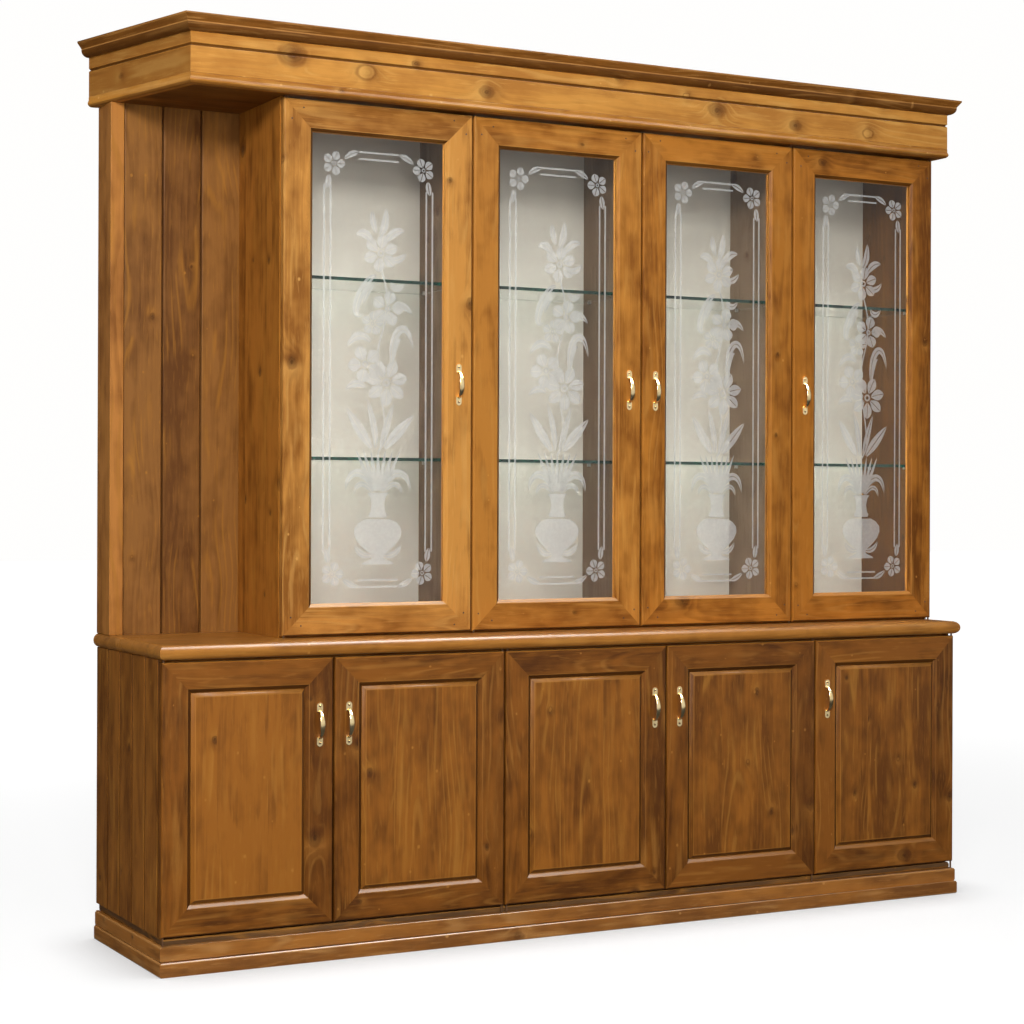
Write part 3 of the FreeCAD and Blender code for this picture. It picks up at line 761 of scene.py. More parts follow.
@dataclass(frozen=True)
class ClearGlass:
    """Clear glass that lets lamp light through, with its cut edges tinted."""

    name: str
    face: Colour
    edge: Colour
    face_axis: int
    ior: float = 1.46
    gloss: float = 0.10
    roughness: float = 0.015
    face_span: Point = (0.5, 0.9)

    def material(self) -> bpy.types.Material:
        """Makes the material: the faces along one axis are clear, the cut edges carry the tint.

        Returns:
            The finished material.
        """
        made, g, shader, result = new_material(self.name)
        normal = g.split(g.node("TexCoord").outputs["Normal"])
        facing = g.step(g.math("ABSOLUTE", normal[self.face_axis]), *self.face_span)
        g.feed(shader.inputs["Base Color"], g.mix(facing, self.edge, self.face))
        constants = {"Roughness": self.roughness, "Transmission Weight": 1.0, "IOR": self.ior,
                     "Specular IOR Level": self.gloss}
        for label, value in constants.items():
            shader.inputs[label].default_value = value
        through = g.fill(g.node("BsdfTransparent"), self.face)
        shadow = g.node("LightPath").outputs["Is Shadow Ray"]
        both = g.fill(g.node("MixShader"), shadow, shader.outputs[0], through.outputs[0])
        g.feed(result.inputs["Surface"], both.outputs[0])
        return made


@dataclass(frozen=True)
class Frost:
    """Etched white of the pane ornament, partly see-through."""

    name: str
    white: Colour
    cover: float
    uneven_cover: float = 0.08
    worn_share: float = 0.93
    scale: float = 130.0
    satin: float = 0.6
    spread: float = 0.2
    gloss: float = 0.2

    def material(self, mottle: FineMottle) -> bpy.types.Material:
        """Makes the material, a little uneven in cover.

        Args:
            mottle: The shared unevenness.

        Returns:
            The finished material.
        """
        made, g, shader, _ = new_material(self.name)
        worn = tuple(self.worn_share * c for c in self.white)
        spots = g.place(mottle.tree, {"Base": self.white, "Worn": worn, "Scale": self.scale,
                                      "Satin": self.satin, "Spread": self.spread})
        g.dress(shader, spots)
        g.feed(shader.inputs["Alpha"], g.scaled(spots.outputs["Mask"], self.uneven_cover, self.cover))
        shader.inputs["Specular IOR Level"].default_value = self.gloss
        return made


class Finishes:
    """All materials of the dresser, by slot."""

    def __init__(self) -> None:
        """Builds the shared groups and the materials."""
        figure, mottle = PineFigure(), FineMottle()
        pines = {
            Slot.CARCASS: PineFinish(
                "carcass_pine", (0.330, 0.120, 0.018), (0.140, 0.046, 0.007), stave_width=0.14,
                knot_share=0.36, gloss=0.14),
            Slot.BASE_DOOR: PineFinish(
                "base_door_pine", (0.245, 0.082, 0.010), (0.088, 0.027, 0.003),
                gold=(0.400, 0.168, 0.030), knot_share=0.50, knot_size=1.15, gloss=0.18),
            Slot.PANEL: PineFinish(
                "panel_pine", (0.315, 0.110, 0.014), (0.136, 0.044, 0.006), stave_width=0.125,
                contrast=0.26, knot_share=0.46, gloss=0.18),
            Slot.HUTCH_DOOR: PineFinish(
                "hutch_door_pine", (0.540, 0.218, 0.036), (0.215, 0.070, 0.009),
                gold=(0.620, 0.290, 0.060), heart=(0.110, 0.032, 0.005), knot_share=0.50, knot_size=1.15,
                gloss=0.08),
            Slot.CORNICE: PineFinish(
                "cornice_pine", (0.625, 0.283, 0.055), (0.430, 0.172, 0.029), gold=(0.720, 0.390, 0.100),
                heart=(0.170, 0.055, 0.009), knot=(0.085, 0.027, 0.006), contrast=0.30, knot_share=0.80,
                knot_size=1.9, gloss=0.08),
            Slot.CROWN: PineFinish(
                "crown_pine", (0.260, 0.096, 0.015), (0.135, 0.046, 0.007), gold=(0.620, 0.300, 0.080),
                heart=(0.080, 0.025, 0.005), gloss=0.10),
            Slot.ROUGH: PineFinish(
                "rough_pine", (0.420, 0.250, 0.110), (0.250, 0.130, 0.048), gold=(0.500, 0.320, 0.150),
                heart=(0.150, 0.070, 0.026), stave_width=0.16, satin=0.62, gloss=0.15),
        }
        own = {
            "counter_top": PineFinish(
                "counter_pine", (0.475, 0.190, 0.032), (0.225, 0.081, 0.012), gold=(0.600, 0.280, 0.060),
                stave_width=0.16, satin=0.30, gloss=0.16),
            "cornice_bead": PineFinish(
                "bead_pine", (0.560, 0.240, 0.040), (0.340, 0.124, 0.018), gold=(0.700, 0.380, 0.110),
                heart=(0.200, 0.066, 0.010), knot=(0.110, 0.038, 0.008), gloss=0.04),
            # Lighter than the carcass pine: painted light on the niche post.
            "niche_post": PineFinish(
                "post_pine_painted_light", (0.470, 0.190, 0.042), (0.230, 0.082, 0.015), gloss=0.14),
            # Darker and greyer than the carcass pine: painted shade in the niche.
            "niche_back_boards": PineFinish(
                "niche_pine_painted_shade", (0.270, 0.114, 0.028), (0.125, 0.047, 0.011), stave_width=0.14, gloss=0.12),
            # Lighter than the carcass pine: painted light on the side seen in the niche; its knot colour
            # also serves as the painted shade on the right side's inner face.
            "hutch_side_panels": PineFinish(
                "hutch_side_pine", (0.390, 0.144, 0.022), (0.165, 0.055, 0.008),
                knot=(0.060, 0.036, 0.017), stave_width=0.14, knot_share=0.36, gloss=0.02),
            # Door 1 lighter and doors 3 and 4 darker than the hutch door pine: partly the doors' own tone,
            # partly a painted falloff of light from left to right.
            "hutch_door_1_frame": PineFinish(
                "hutch_door_1_pine", (0.585, 0.259, 0.054), (0.255, 0.094, 0.016),
                gold=(0.670, 0.345, 0.090), heart=(0.130, 0.040, 0.007), knot_share=0.50, knot_size=1.15,
                gloss=0.08),
            "hutch_door_3_frame": PineFinish(
                "hutch_door_3_pine", (0.490, 0.185, 0.026), (0.180, 0.056, 0.007),
                gold=(0.570, 0.250, 0.048), heart=(0.090, 0.026, 0.004), knot_share=0.55, knot_size=1.15,
                gloss=0.08),
            "hutch_door_4_frame": PineFinish(
                "hutch_door_4_pine", (0.430, 0.155, 0.020), (0.150, 0.046, 0.005),
                gold=(0.540, 0.230, 0.042), heart=(0.080, 0.023, 0.003), knot_share=0.55, knot_size=1.15,
                gloss=0.08),
            # Darker and greyer than the carcass pine: painted shade in the recess under the doors.
            "plinth_recess_strip": PineFinish(
                "recess_pine_painted_shade", (0.135, 0.070, 0.030), (0.080, 0.040, 0.016), gloss=0.10),
            # Darker and greyer than the carcass pine: painted shade inside the hutch.
            "hutch_partitions": PineFinish(
                "partition_pine_painted_shade", (0.190, 0.127, 0.078), (0.115, 0.072, 0.041),
                gold=(0.230, 0.158, 0.095), gloss=0.05),
            # Much darker than the cornice pine: painted shade on the cornice's underside.
            "cornice_soffit": PineFinish(
                "soffit_pine_painted_shade", (0.180, 0.066, 0.011), (0.085, 0.029, 0.005), gloss=0.05),
        }
        mottles = {
            Slot.PALE: MottleFinish(
                "pale_panel", (0.440, 0.404, 0.344), (0.400, 0.364, 0.306), 3.0, 0.42),
            Slot.BRASS: MottleFinish(
                "polished_brass", (0.920, 0.730, 0.410), (0.840, 0.620, 0.300), 90.0, 0.20, spread=0.14,
                metallic=1.0),
            Slot.STEEL: MottleFinish(
                "bright_steel", (0.560, 0.550, 0.530), (0.450, 0.440, 0.420), 160.0, 0.3, spread=0.15,
                metallic=1.0),
            Slot.BRONZE: MottleFinish(
                "browned_bronze", (0.120, 0.052, 0.017), (0.090, 0.038, 0.012), 160.0, 0.42, spread=0.15),
        }
        glasses = {
            Slot.PANE: ClearGlass(
                "pane_glass", (0.975, 0.985, 0.980), (0.300, 0.560, 0.470), face_axis=1, ior=1.25),
            Slot.SHELF: ClearGlass(
                "shelf_glass", (0.940, 0.975, 0.960), (0.012, 0.110, 0.080), face_axis=2),
        }
        plinth = PineFinish("plinth_pine", (0.390, 0.146, 0.023), (0.185, 0.063, 0.009),
                            gold=(0.600, 0.300, 0.090), gloss=0.40).material(figure)
        self.by_node = {node: finish.material(figure) for node, finish in own.items()}
        self.by_node |= {"plinth_skirting_lower": plinth, "plinth_skirting_upper": plinth}
        self.by_slot = {slot: finish.material(figure) for slot, finish in pines.items()}
        self.by_slot |= {slot: finish.material(mottle) for slot, finish in mottles.items()}
        self.by_slot |= {slot: finish.material() for slot, finish in glasses.items()}
        self.frost = Frost("etched_frost", (0.760, 0.755, 0.735), 0.38).material(mottle)
        # Dark filler of the nail plugs; on the screws it is the painted shade of their recesses.
        self.filler = MottleFinish("dark_plug_and_painted_shade", (0.030, 0.014, 0.007), (0.055, 0.026, 0.012), 300.0,
                                   0.6).material(mottle)

    def of(self, node: str, slot: Slot) -> bpy.types.Material:
        """Material of a node: its own where it has one, otherwise its slot's."""
        return self.by_node.get(node, self.by_slot[slot])


def add_piece(name: str, mesh: bpy.types.Mesh, material: bpy.types.Material, body: str) -> bpy.types.Object:
    """Dresses a mesh and adds it as a piece that rides a body.

    Args:
        name: Name of the piece.
        mesh: Its mesh.
        material: Its material.
        body: The body it rides.

    Returns:
        The new piece.
    """
    mesh.materials.append(material)
    made = bpy.data.objects.new(name, mesh)
    bpy.context.scene.collection.objects.link(made)
    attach(made, body)
    return made


@dataclass
class Board:
    """One solid of a CAD node: welded points, triangles and the lie of its grain."""

    points: np.ndarray
    triangles: np.ndarray
    along: np.ndarray
    depth: np.ndarray
    longest_log: float = 9.0
    pith_aside: float = 0.03
    pith_depth: Point = (0.028, 0.075)

    def grain_matrix(self, chance: random.Random) -> Matrix:
        """Map from the part's frame to this board's grain coordinates.

        Args:
            chance: Random source of the board.

        Returns:
            Matrix that gives along, across and depth in metres.
        """
        across = np.cross(self.depth, self.along)
        turn = Matrix([list(self.along * chance.choice((-1, 1))), list(across), list(self.depth)]).to_4x4()
        middle = (self.points.min(0) + self.points.max(0)) / 2
        pith = Vector((chance.uniform(0, self.longest_log),
                       chance.uniform(-self.pith_aside, self.pith_aside),
                       chance.uniform(*self.pith_depth)))
        return Matrix.Translation(pith) @ turn @ Matrix.Translation(-Vector(middle))


@dataclass
class Joinery:
    """The boards of one wooden CAD node, with eased edges and a grain of their own."""

    node: str
    slot: Slot
    ease: float = 0.0011
    shortest: float = 0.024
    crease: float = 0.35
    flat: float = 0.01
    steps: int = 2
    weld_digits: int = 6
    grooved: tuple[str, ...] = ("base_side_boards", "niche_back_boards", "cornice_frieze")
    sloped: Point = (0.3, 0.93)
    mitred: Point = (0.3, 0.9)
    upright: float = 0.1
    level: float = 0.98
    leftward: float = 0.9
    splayed: float = 0.5
    lengthwise: float = 0.2
    tilted: float = 0.3
    underside: float = 0.35
    round_share: float = 0.44
    fillet_share: float = 0.53
    # Face marks: below 0 a painted highlight, above 0 a painted shade, 0 none.
    painted_highlight: float = -1.0
    bare: float = 0.0
    end_painted_shade: float = 0.5
    crown_painted_shade: float = 0.55
    bead_painted_shade: float = 0.6
    deep_painted_shade: float = 1.0
    draws: dict[str, str] = field(default_factory=lambda: {
        "cornice_frieze": "f", "niche_back_boards": "c",
        **{f"base_door_{k}_panel": "e" for k in range(1, 6)}})
    boards: list[Board] = field(default_factory=list)

    def read(self) -> None:
        """Splits the node's mesh into its closed solids."""
        mesh = frame["nodes"][self.node].data
        mesh.calc_loop_triangles()
        raw = np.zeros(len(mesh.vertices) * 3)
        mesh.vertices.foreach_get("co", raw)
        raw = raw.reshape(-1, 3)
        corners = np.array([t.vertices[:] for t in mesh.loop_triangles])
        _, weld = np.unique(np.round(raw, self.weld_digits), axis=0, return_inverse=True)
        weld = weld.reshape(-1)
        loose: set[tuple[int, int]] = set()
        start = 0
        for index, triangle in enumerate(weld[corners]):
            for a, b in zip(triangle, np.roll(triangle, -1)):
                loose ^= {(min(a, b), max(a, b))}
            if not loose:
                self.boards.append(self.board(raw, corners[start:index + 1], weld))
                start = index + 1

    def board(self, raw: np.ndarray, corners: np.ndarray, weld: np.ndarray) -> Board:
        """Makes one board from its triangles.

        Args:
            raw: All points of the node.
            corners: The board's triangles, by raw point.
            weld: Welded number of each raw point.

        Returns:
            The board, with its grain along its longest edge and its depth through its largest face.
        """
        sides: dict[tuple[int, int], int] = {}
        for triangle in corners:
            for a, b in zip(triangle, np.roll(triangle, -1)):
                key = (min(a, b), max(a, b))
                sides[key] = sides.get(key, 0) + 1
        rims = np.array([key for key, count in sides.items() if count == 1])
        runs = raw[rims[:, 1]] - raw[rims[:, 0]]
        along = runs[np.argmax(np.linalg.norm(runs, axis=1))]
        along = along / np.linalg.norm(along)
        crosses = np.cross(raw[corners[:, 1]] - raw[corners[:, 0]], raw[corners[:, 2]] - raw[corners[:, 0]])
        areas: dict[tuple[float, ...], float] = {}
        for cross in crosses:
            area = float(np.linalg.norm(cross))
            if area > 0 and abs(cross @ along) < 0.1 * area:
                key = tuple(np.round(cross / area, 2) + 0.0)
                areas[key] = areas.get(key, 0.0) + area
        depth = np.array(max(areas, key=areas.get))
        depth = depth - along * (depth @ along)
        used, local = np.unique(weld[corners], return_inverse=True)
        first = {int(w): i for i, w in reversed(list(enumerate(weld)))}
        points = np.array([raw[first[int(w)]] for w in used])
        return Board(points, local.reshape(-1, 3), along, depth / np.linalg.norm(depth))

    def paint_light(self, face: bmesh.types.BMFace, board: Board) -> float:
        """How much painted shade or painted highlight a face gets.

        Args:
            face: The face.
            board: Its board.

        Returns:
            Above 0 for painted shade in grooves, on the inner face of the right hutch side, on the crown's
            lower round, under the bead, on the frieze's left return and on door bevels facing down or right;
            below 0 for a painted highlight on door bevels facing up and on the crown's fillet.
        """
        way, middle = face.normal, face.calc_center_median()
        lean = abs(way.dot(Vector(board.depth)))
        sloping = self.sloped[0] < lean < self.sloped[1]
        low, high = board.points[:, 2].min(), board.points[:, 2].max()
        share = (middle.z - low) / (high - low)
        # Painted shade on the inner face of the right hutch side.
        if self.node == "hutch_side_panels":
            return self.deep_painted_shade if way.x < -self.leftward and middle.x > 0 else self.bare
        # Painted shade on the frieze's left return, full in its groove and half on its face.
        if self.node == "cornice_frieze" and way.x < -self.splayed:
            return self.deep_painted_shade if lean < self.sloped[1] else self.end_painted_shade
        # Painted shade in the grooves between boards.
        if self.node in self.grooved:
            groove = sloping and abs(way.dot(Vector(board.along))) < self.lengthwise
            return self.deep_painted_shade if groove else self.bare
        # Painted shade on the crown's lower round, painted highlight on its fillet.
        if self.node == "cornice_crown" and share < self.round_share:
            return self.crown_painted_shade if abs(way.z) < self.level else self.bare
        if self.node == "cornice_crown":
            return self.painted_highlight if share < self.fillet_share and abs(way.z) < self.upright else self.bare
        # Painted shade under the bead.
        if self.node == "cornice_bead":
            return self.bead_painted_shade if -self.level < way.z < -self.underside else self.bare
        # Painted highlight on door bevels facing up, painted shade on those facing down or right.
        if "_door_" in self.node and sloping and way.z > self.tilted:
            return self.painted_highlight
        if "_door_" in self.node and sloping and (way.z < -self.tilted or way.x > self.tilted):
            return self.deep_painted_shade
        return self.bare

    def eased(self, board: Board) -> bmesh.types.BMesh:
        """Mesh of a board with flat faces and softened long edges.

        Args:
            board: The board.

        Returns:
            The mesh, to be freed by the caller.
        """
        made = bmesh.new()
        points = [made.verts.new(p) for p in board.points]
        for triangle in board.triangles:
            if len(set(triangle)) == 3:
                made.faces.new([points[i] for i in triangle])
        bmesh.ops.dissolve_limit(made, angle_limit=self.flat, verts=made.verts[:], edges=made.edges[:])
        # Each face's mark of painted shade or painted highlight.
        pooled = made.faces.layers.float.new("pooled")
        for face in made.faces:
            face[pooled] = self.paint_light(face, board)
        long_edges = []
        grain = Vector(board.along)
        for edge in made.edges:
            if len(edge.link_faces) == 2 and edge.calc_face_angle() > self.crease:
                run = abs((edge.verts[1].co - edge.verts[0].co).normalized().dot(grain))
                mitre = "_door_" in self.node and self.mitred[0] < run < self.mitred[1]
                if edge.is_convex and edge.calc_length() > self.shortest and not mitre:
                    long_edges.append(edge)
                else:
                    edge.smooth = False
        rounded = bmesh.ops.bevel(made, geom=long_edges, offset=self.ease, offset_type="OFFSET",
                                  segments=self.steps, profile=0.5, affect="EDGES", clamp_overlap=False)
        # Painted highlight on the eased edges, except on the grooved boards and the bead.
        for face in rounded["faces"]:
            face[pooled] = self.bare if self.node in (*self.grooved, "cornice_bead") else self.painted_highlight
        return made

    def build(self, finishes: Finishes) -> bpy.types.Object:
        """Builds the eased boards in place of the CAD node.

        Args:
            finishes: The dresser's materials.

        Returns:
            The new piece.
        """
        self.read()
        whole = bmesh.new()
        for index, board in enumerate(self.boards):
            chance = random.Random(f"{self.node} {index}{self.draws.get(self.node, '')}")
            lie, tone = board.grain_matrix(chance), chance.random()
            made = self.eased(board)
            grain = made.verts.layers.float_vector.new("grain")
            shade = made.verts.layers.float.new("tone")
            for vertex in made.verts:
                vertex[grain] = lie @ vertex.co
                vertex[shade] = tone
            for face in made.faces:
                face.smooth = True
            piece = bpy.data.meshes.new("board")
            made.to_mesh(piece)
            made.free()
            whole.from_mesh(piece)
            bpy.data.meshes.remove(piece)
        name = self.node + "_wood"
        mesh = bpy.data.meshes.new(name)
        whole.to_mesh(mesh)
        whole.free()
        body = frame["nodes"][self.node]["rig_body"]
        made = add_piece(name, mesh, finishes.of(self.node, self.slot), body)
        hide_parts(self.node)
        even = made.modifiers.new("even_normals", "WEIGHTED_NORMAL")
        even.keep_sharp = True
        LOG.info("%s: %d boards", made.name, len(self.boards))
        return made


@dataclass
class Woodwork:
    """The wooden nodes of one sub-assembly, found by a mark in their names."""

    mark: str
    ease: float = 0.0011
    shortest: float = 0.024

    def build(self, left: dict[str, Slot], finishes: Finishes) -> dict[str, Slot]:
        """Builds each node's boards.

        Args:
            left: Slots of the nodes that still need their looks.
            finishes: The dresser's materials.

        Returns:
            Slots of the nodes that are left after this.
        """
        chosen = {node: slot for node, slot in left.items() if self.mark in node and slot not in PLAIN}
        for node, slot in chosen.items():
            Joinery(node, slot, ease=self.ease, shortest=self.shortest).build(finishes)
        LOG.info("%s: %d wooden pieces", type(self).__name__.lower(), len(chosen))
        return {node: slot for node, slot in left.items() if node not in chosen}


@dataclass
class Doors(Woodwork):
    """Frames, panels and glazing beads of all nine doors."""

    mark: str = "_door_"


@dataclass
class Base(Woodwork):
    """Carcass and kick boards of the base, and the boards that clad its sides."""

    mark: str = "base_"


@dataclass
class Plinth(Woodwork):
    """Skirting steps and recess strip, with their long edges rounded further."""

    mark: str = "plinth_"
    ease: float = 0.0045
    shortest: float = 0.2


@dataclass
class Counter(Woodwork):
    """Counter top."""

    mark: str = "counter_"


@dataclass
class Hutch(Woodwork):
    """Carcass of the hutch."""

    mark: str = "hutch_"


@dataclass
class Niche(Woodwork):
    """Back boards and post of the open niche."""

    mark: str = "niche_"


@dataclass
class Cornice(Woodwork):
    """Bead, frieze, crown and panels of the cornice."""

    mark: str = "cornice_"


@dataclass
class Fittings:
    """CAD nodes that keep their own shape and get a finish."""

    nodes: dict[str, Slot]

    def dress(self, finishes: Finishes) -> None:
        """Puts the finish on each node.

        Args:
            finishes: The dresser's materials.
        """
        for node, slot in self.nodes.items():
            shown = frame["nodes"][node]
            shown.data.materials.clear()
            shown.data.materials.append(finishes.by_slot[slot])
            LOG.info("%s: %s", node, slot.value)


@dataclass
class Ornament:
    """Flat etched drawing in the plane of a pane, gathered as strips of quads in metres."""

    vein: float = 0.0016
    veined_width: float = 0.0115
    tip: float = 0.0006
    curve_points: int = 11
    leaf_skew: float = 1.15
    frond_start: float = 0.05
    frond_fullness: float = 0.8
    petal_start: float = 0.22
    petal_bow: float = 0.05
    petal_width: float = 3.5
    petal_fullness: float = 0.75
    button: float = 0.13
    button_width: float = 0.09
    fineness: int = 6
    points: list[Point] = field(default_factory=list)
    faces: list[tuple[int, ...]] = field(default_factory=list)

    def strip(self, spine: list[Point] | np.ndarray, widths: list[float] | np.ndarray) -> None:
        """Adds a ribbon along a line, with a clear vein along its middle where it is a wide leaf.

        Args:
            spine: Points of its middle line.
            widths: Full width at each point.
        """
        line, half = np.array(spine), np.array(widths)[:, None] / 2
        run = np.gradient(line, axis=0)
        run /= np.maximum(np.linalg.norm(run, axis=1, keepdims=True), 1e-9)
        side = np.stack([-run[:, 1], run[:, 0]], axis=1)
        clear = np.minimum(half, self.vein / 2)
        leafy = 2 * half.max() > self.veined_width and half[-1] < half.max() / 2
        for near, far in ((-half, -clear), (clear, half)) if leafy else ((-half, half),):
            start = len(self.points)
            for low, high in zip(line + side * near, line + side * far):
                self.points += [tuple(low), tuple(high)]
            for i in range(start, start + 2 * (len(line) - 1), 2):
                self.faces.append((i, i + 2, i + 3, i + 1))

    def leaf(self, root: np.ndarray, tip: np.ndarray, bow: float, width: float, fullness: float) -> None:
        """Adds a pointed leaf or petal.

        Args:
            root: Where it starts.
            tip: Where it ends.
            bow: Sideways bow of its middle line, as a share of its length.
            width: Greatest width.
            fullness: Lower values give a blunter leaf.
        """
        run = tip - root
        knee = (root + tip) / 2 + bow * np.array([-run[1], run[0]])
        shares = np.linspace(0, 1, self.curve_points)
        spine = [(1 - t) ** 2 * root + 2 * t * (1 - t) * knee + t * t * tip for t in shares]
        swell = [max(math.sin(math.pi * t ** self.leaf_skew), 0.0) ** fullness for t in shares]
        self.strip(spine, [width * s + self.tip for s in swell])

    def smooth(self, path: list[Point]) -> np.ndarray:
        """Smooths a line.

        Args:
            path: Points that the line goes through.

        Returns:
            Points along the one curve of least degree through them.
        """
        line = np.array(path)
        marks = np.arange(len(line))
        fine = np.linspace(0, len(line) - 1, self.fineness * len(line))
        weights = [[np.prod([(f - m) / (k - m) for m in marks if m != k]) for k in marks] for f in fine]
        return np.array(weights) @ line

    def stem(self, path: list[Point], width: float) -> None:
        """Adds a thin stem of even width along a smooth line through the given points."""
        line = self.smooth(path)
        self.strip(line, [width] * len(line))

    def frond(self, path: list[Point], width: float) -> None:
        """Adds a leaf that tapers to both ends along a smooth line.

        Args:
            path: Points that its middle line goes through.
            width: Greatest width.
        """
        line = self.smooth(path)
        shares = np.linspace(self.frond_start, 1, len(line))
        self.strip(line, width * np.maximum(np.sin(np.pi * shares), 0.0) ** self.frond_fullness + self.tip)

    def blossom(self, middle: Point, radius: float, petals: int, turn: float) -> None:
        """Adds a flower with separate petals and a button in the middle.

        Args:
            middle: Its middle.
            radius: Length of a petal from there.
            petals: Number of petals.
            turn: Direction of the first petal, in degrees.
        """
        heart = np.array(middle)
        for k in range(petals):
            angle = math.radians(turn + 360.0 * k / petals)
            way = radius * np.array([math.cos(angle), math.sin(angle)])
            self.leaf(heart + self.petal_start * way, heart + way, self.petal_bow,
                      self.petal_width * radius / petals, self.petal_fullness)
        angles = np.linspace(0, 2 * math.pi, self.curve_points)
        ring = heart + self.button * radius * np.stack([np.cos(angles), np.sin(angles)], axis=1)
        self.strip(ring, [self.button_width * radius] * len(ring))

    def bar(self, low: Point, high: Point) -> None:
        """Adds an upright or level bar.

        Args:
            low: Its lower left corner.
            high: Its upper right corner.
        """
        start = len(self.points)
        self.points += [low, (high[0], low[1]), high, (low[0], high[1])]
        self.faces.append((start, start + 1, start + 2, start + 3))


@dataclass(frozen=True)
class Sight:
    """Clear opening of a pane, measured from the foot of its middle line."""

    width: float
    height: float

    def at(self, u: float, v: float) -> Point:
        """Point at shares of the width and the height."""
        return u * self.width, v * self.height


# One leaf of the ornament: its width in metres, then points of its middle line as shares of the sight.
VASE_LEAVES = (
    (0.014, (0.035, 0.102), (0.120, 0.104), (0.175, 0.124)),
    (0.019, (0.030, 0.238), (0.100, 0.272), (0.190, 0.276), (0.245, 0.240)),
    (0.012, (0.040, 0.234), (0.095, 0.252), (0.150, 0.252), (0.180, 0.232)),
)
SPRAY_LEAVES = (
    (0.026, (0.05, 0.332), (0.15, 0.366), (0.27, 0.405)),
    (0.024, (-0.05, 0.332), (-0.14, 0.372), (-0.24, 0.418)),
    (0.017, (0.02, 0.332), (0.06, 0.376), (0.12, 0.432)),
    (0.016, (-0.02, 0.332), (-0.035, 0.382), (-0.09, 0.440)),
    (0.019, (0.10, 0.512), (0.125, 0.572), (0.200, 0.590), (0.265, 0.545)),
    (0.010, (0.11, 0.514), (0.135, 0.556), (0.175, 0.568)),
    (0.020, (-0.06, 0.560), (-0.15, 0.572), (-0.24, 0.548)),
    (0.018, (0.11, 0.628), (0.18, 0.640), (0.26, 0.622)),
    (0.020, (-0.02, 0.702), (-0.11, 0.678), (-0.170, 0.632), (-0.115, 0.618)),
    (0.011, (-0.03, 0.690), (-0.085, 0.664), (-0.115, 0.640)),
    (0.020, (0.05, 0.775), (0.12, 0.798), (0.20, 0.802)),
    (0.019, (0.01, 0.790), (0.045, 0.815), (0.055, 0.850)),
    (0.020, (-0.04, 0.772), (-0.11, 0.792), (-0.17, 0.786)),
    (0.016, (0.08, 0.742), (0.15, 0.740), (0.21, 0.756)),
    (0.015, (-0.02, 0.795), (-0.045, 0.820), (-0.050, 0.842)),
    (0.016, (0.09, 0.690), (0.14, 0.678), (0.20, 0.690)),
    (0.017, (-0.10, 0.462), (-0.17, 0.470), (-0.25, 0.455)),
)
# One flower of the spray: its middle as shares of the sight, radius in metres, petals and turn in degrees.
SPRAY_FLOWERS = (
    (0.06, 0.474, 0.058, 7, 12),
    (-0.10, 0.512, 0.046, 5, 40),
    (0.07, 0.634, 0.044, 5, 75),
    (-0.045, 0.600, 0.030, 5, 10),
    (0.015, 0.752, 0.047, 6, 20),
)
# Outlines of the vase's body and neck: height as a share of the sight, and full width in metres.
VASE_BODY = ((0.082, 0.086), (0.086, 0.078), (0.094, 0.034), (0.100, 0.030), (0.106, 0.044), (0.118, 0.078),
             (0.132, 0.110), (0.147, 0.126), (0.160, 0.124), (0.172, 0.100), (0.179, 0.066))
VASE_NECK = ((0.183, 0.044), (0.190, 0.050), (0.195, 0.040), (0.212, 0.034), (0.228, 0.042), (0.236, 0.056))


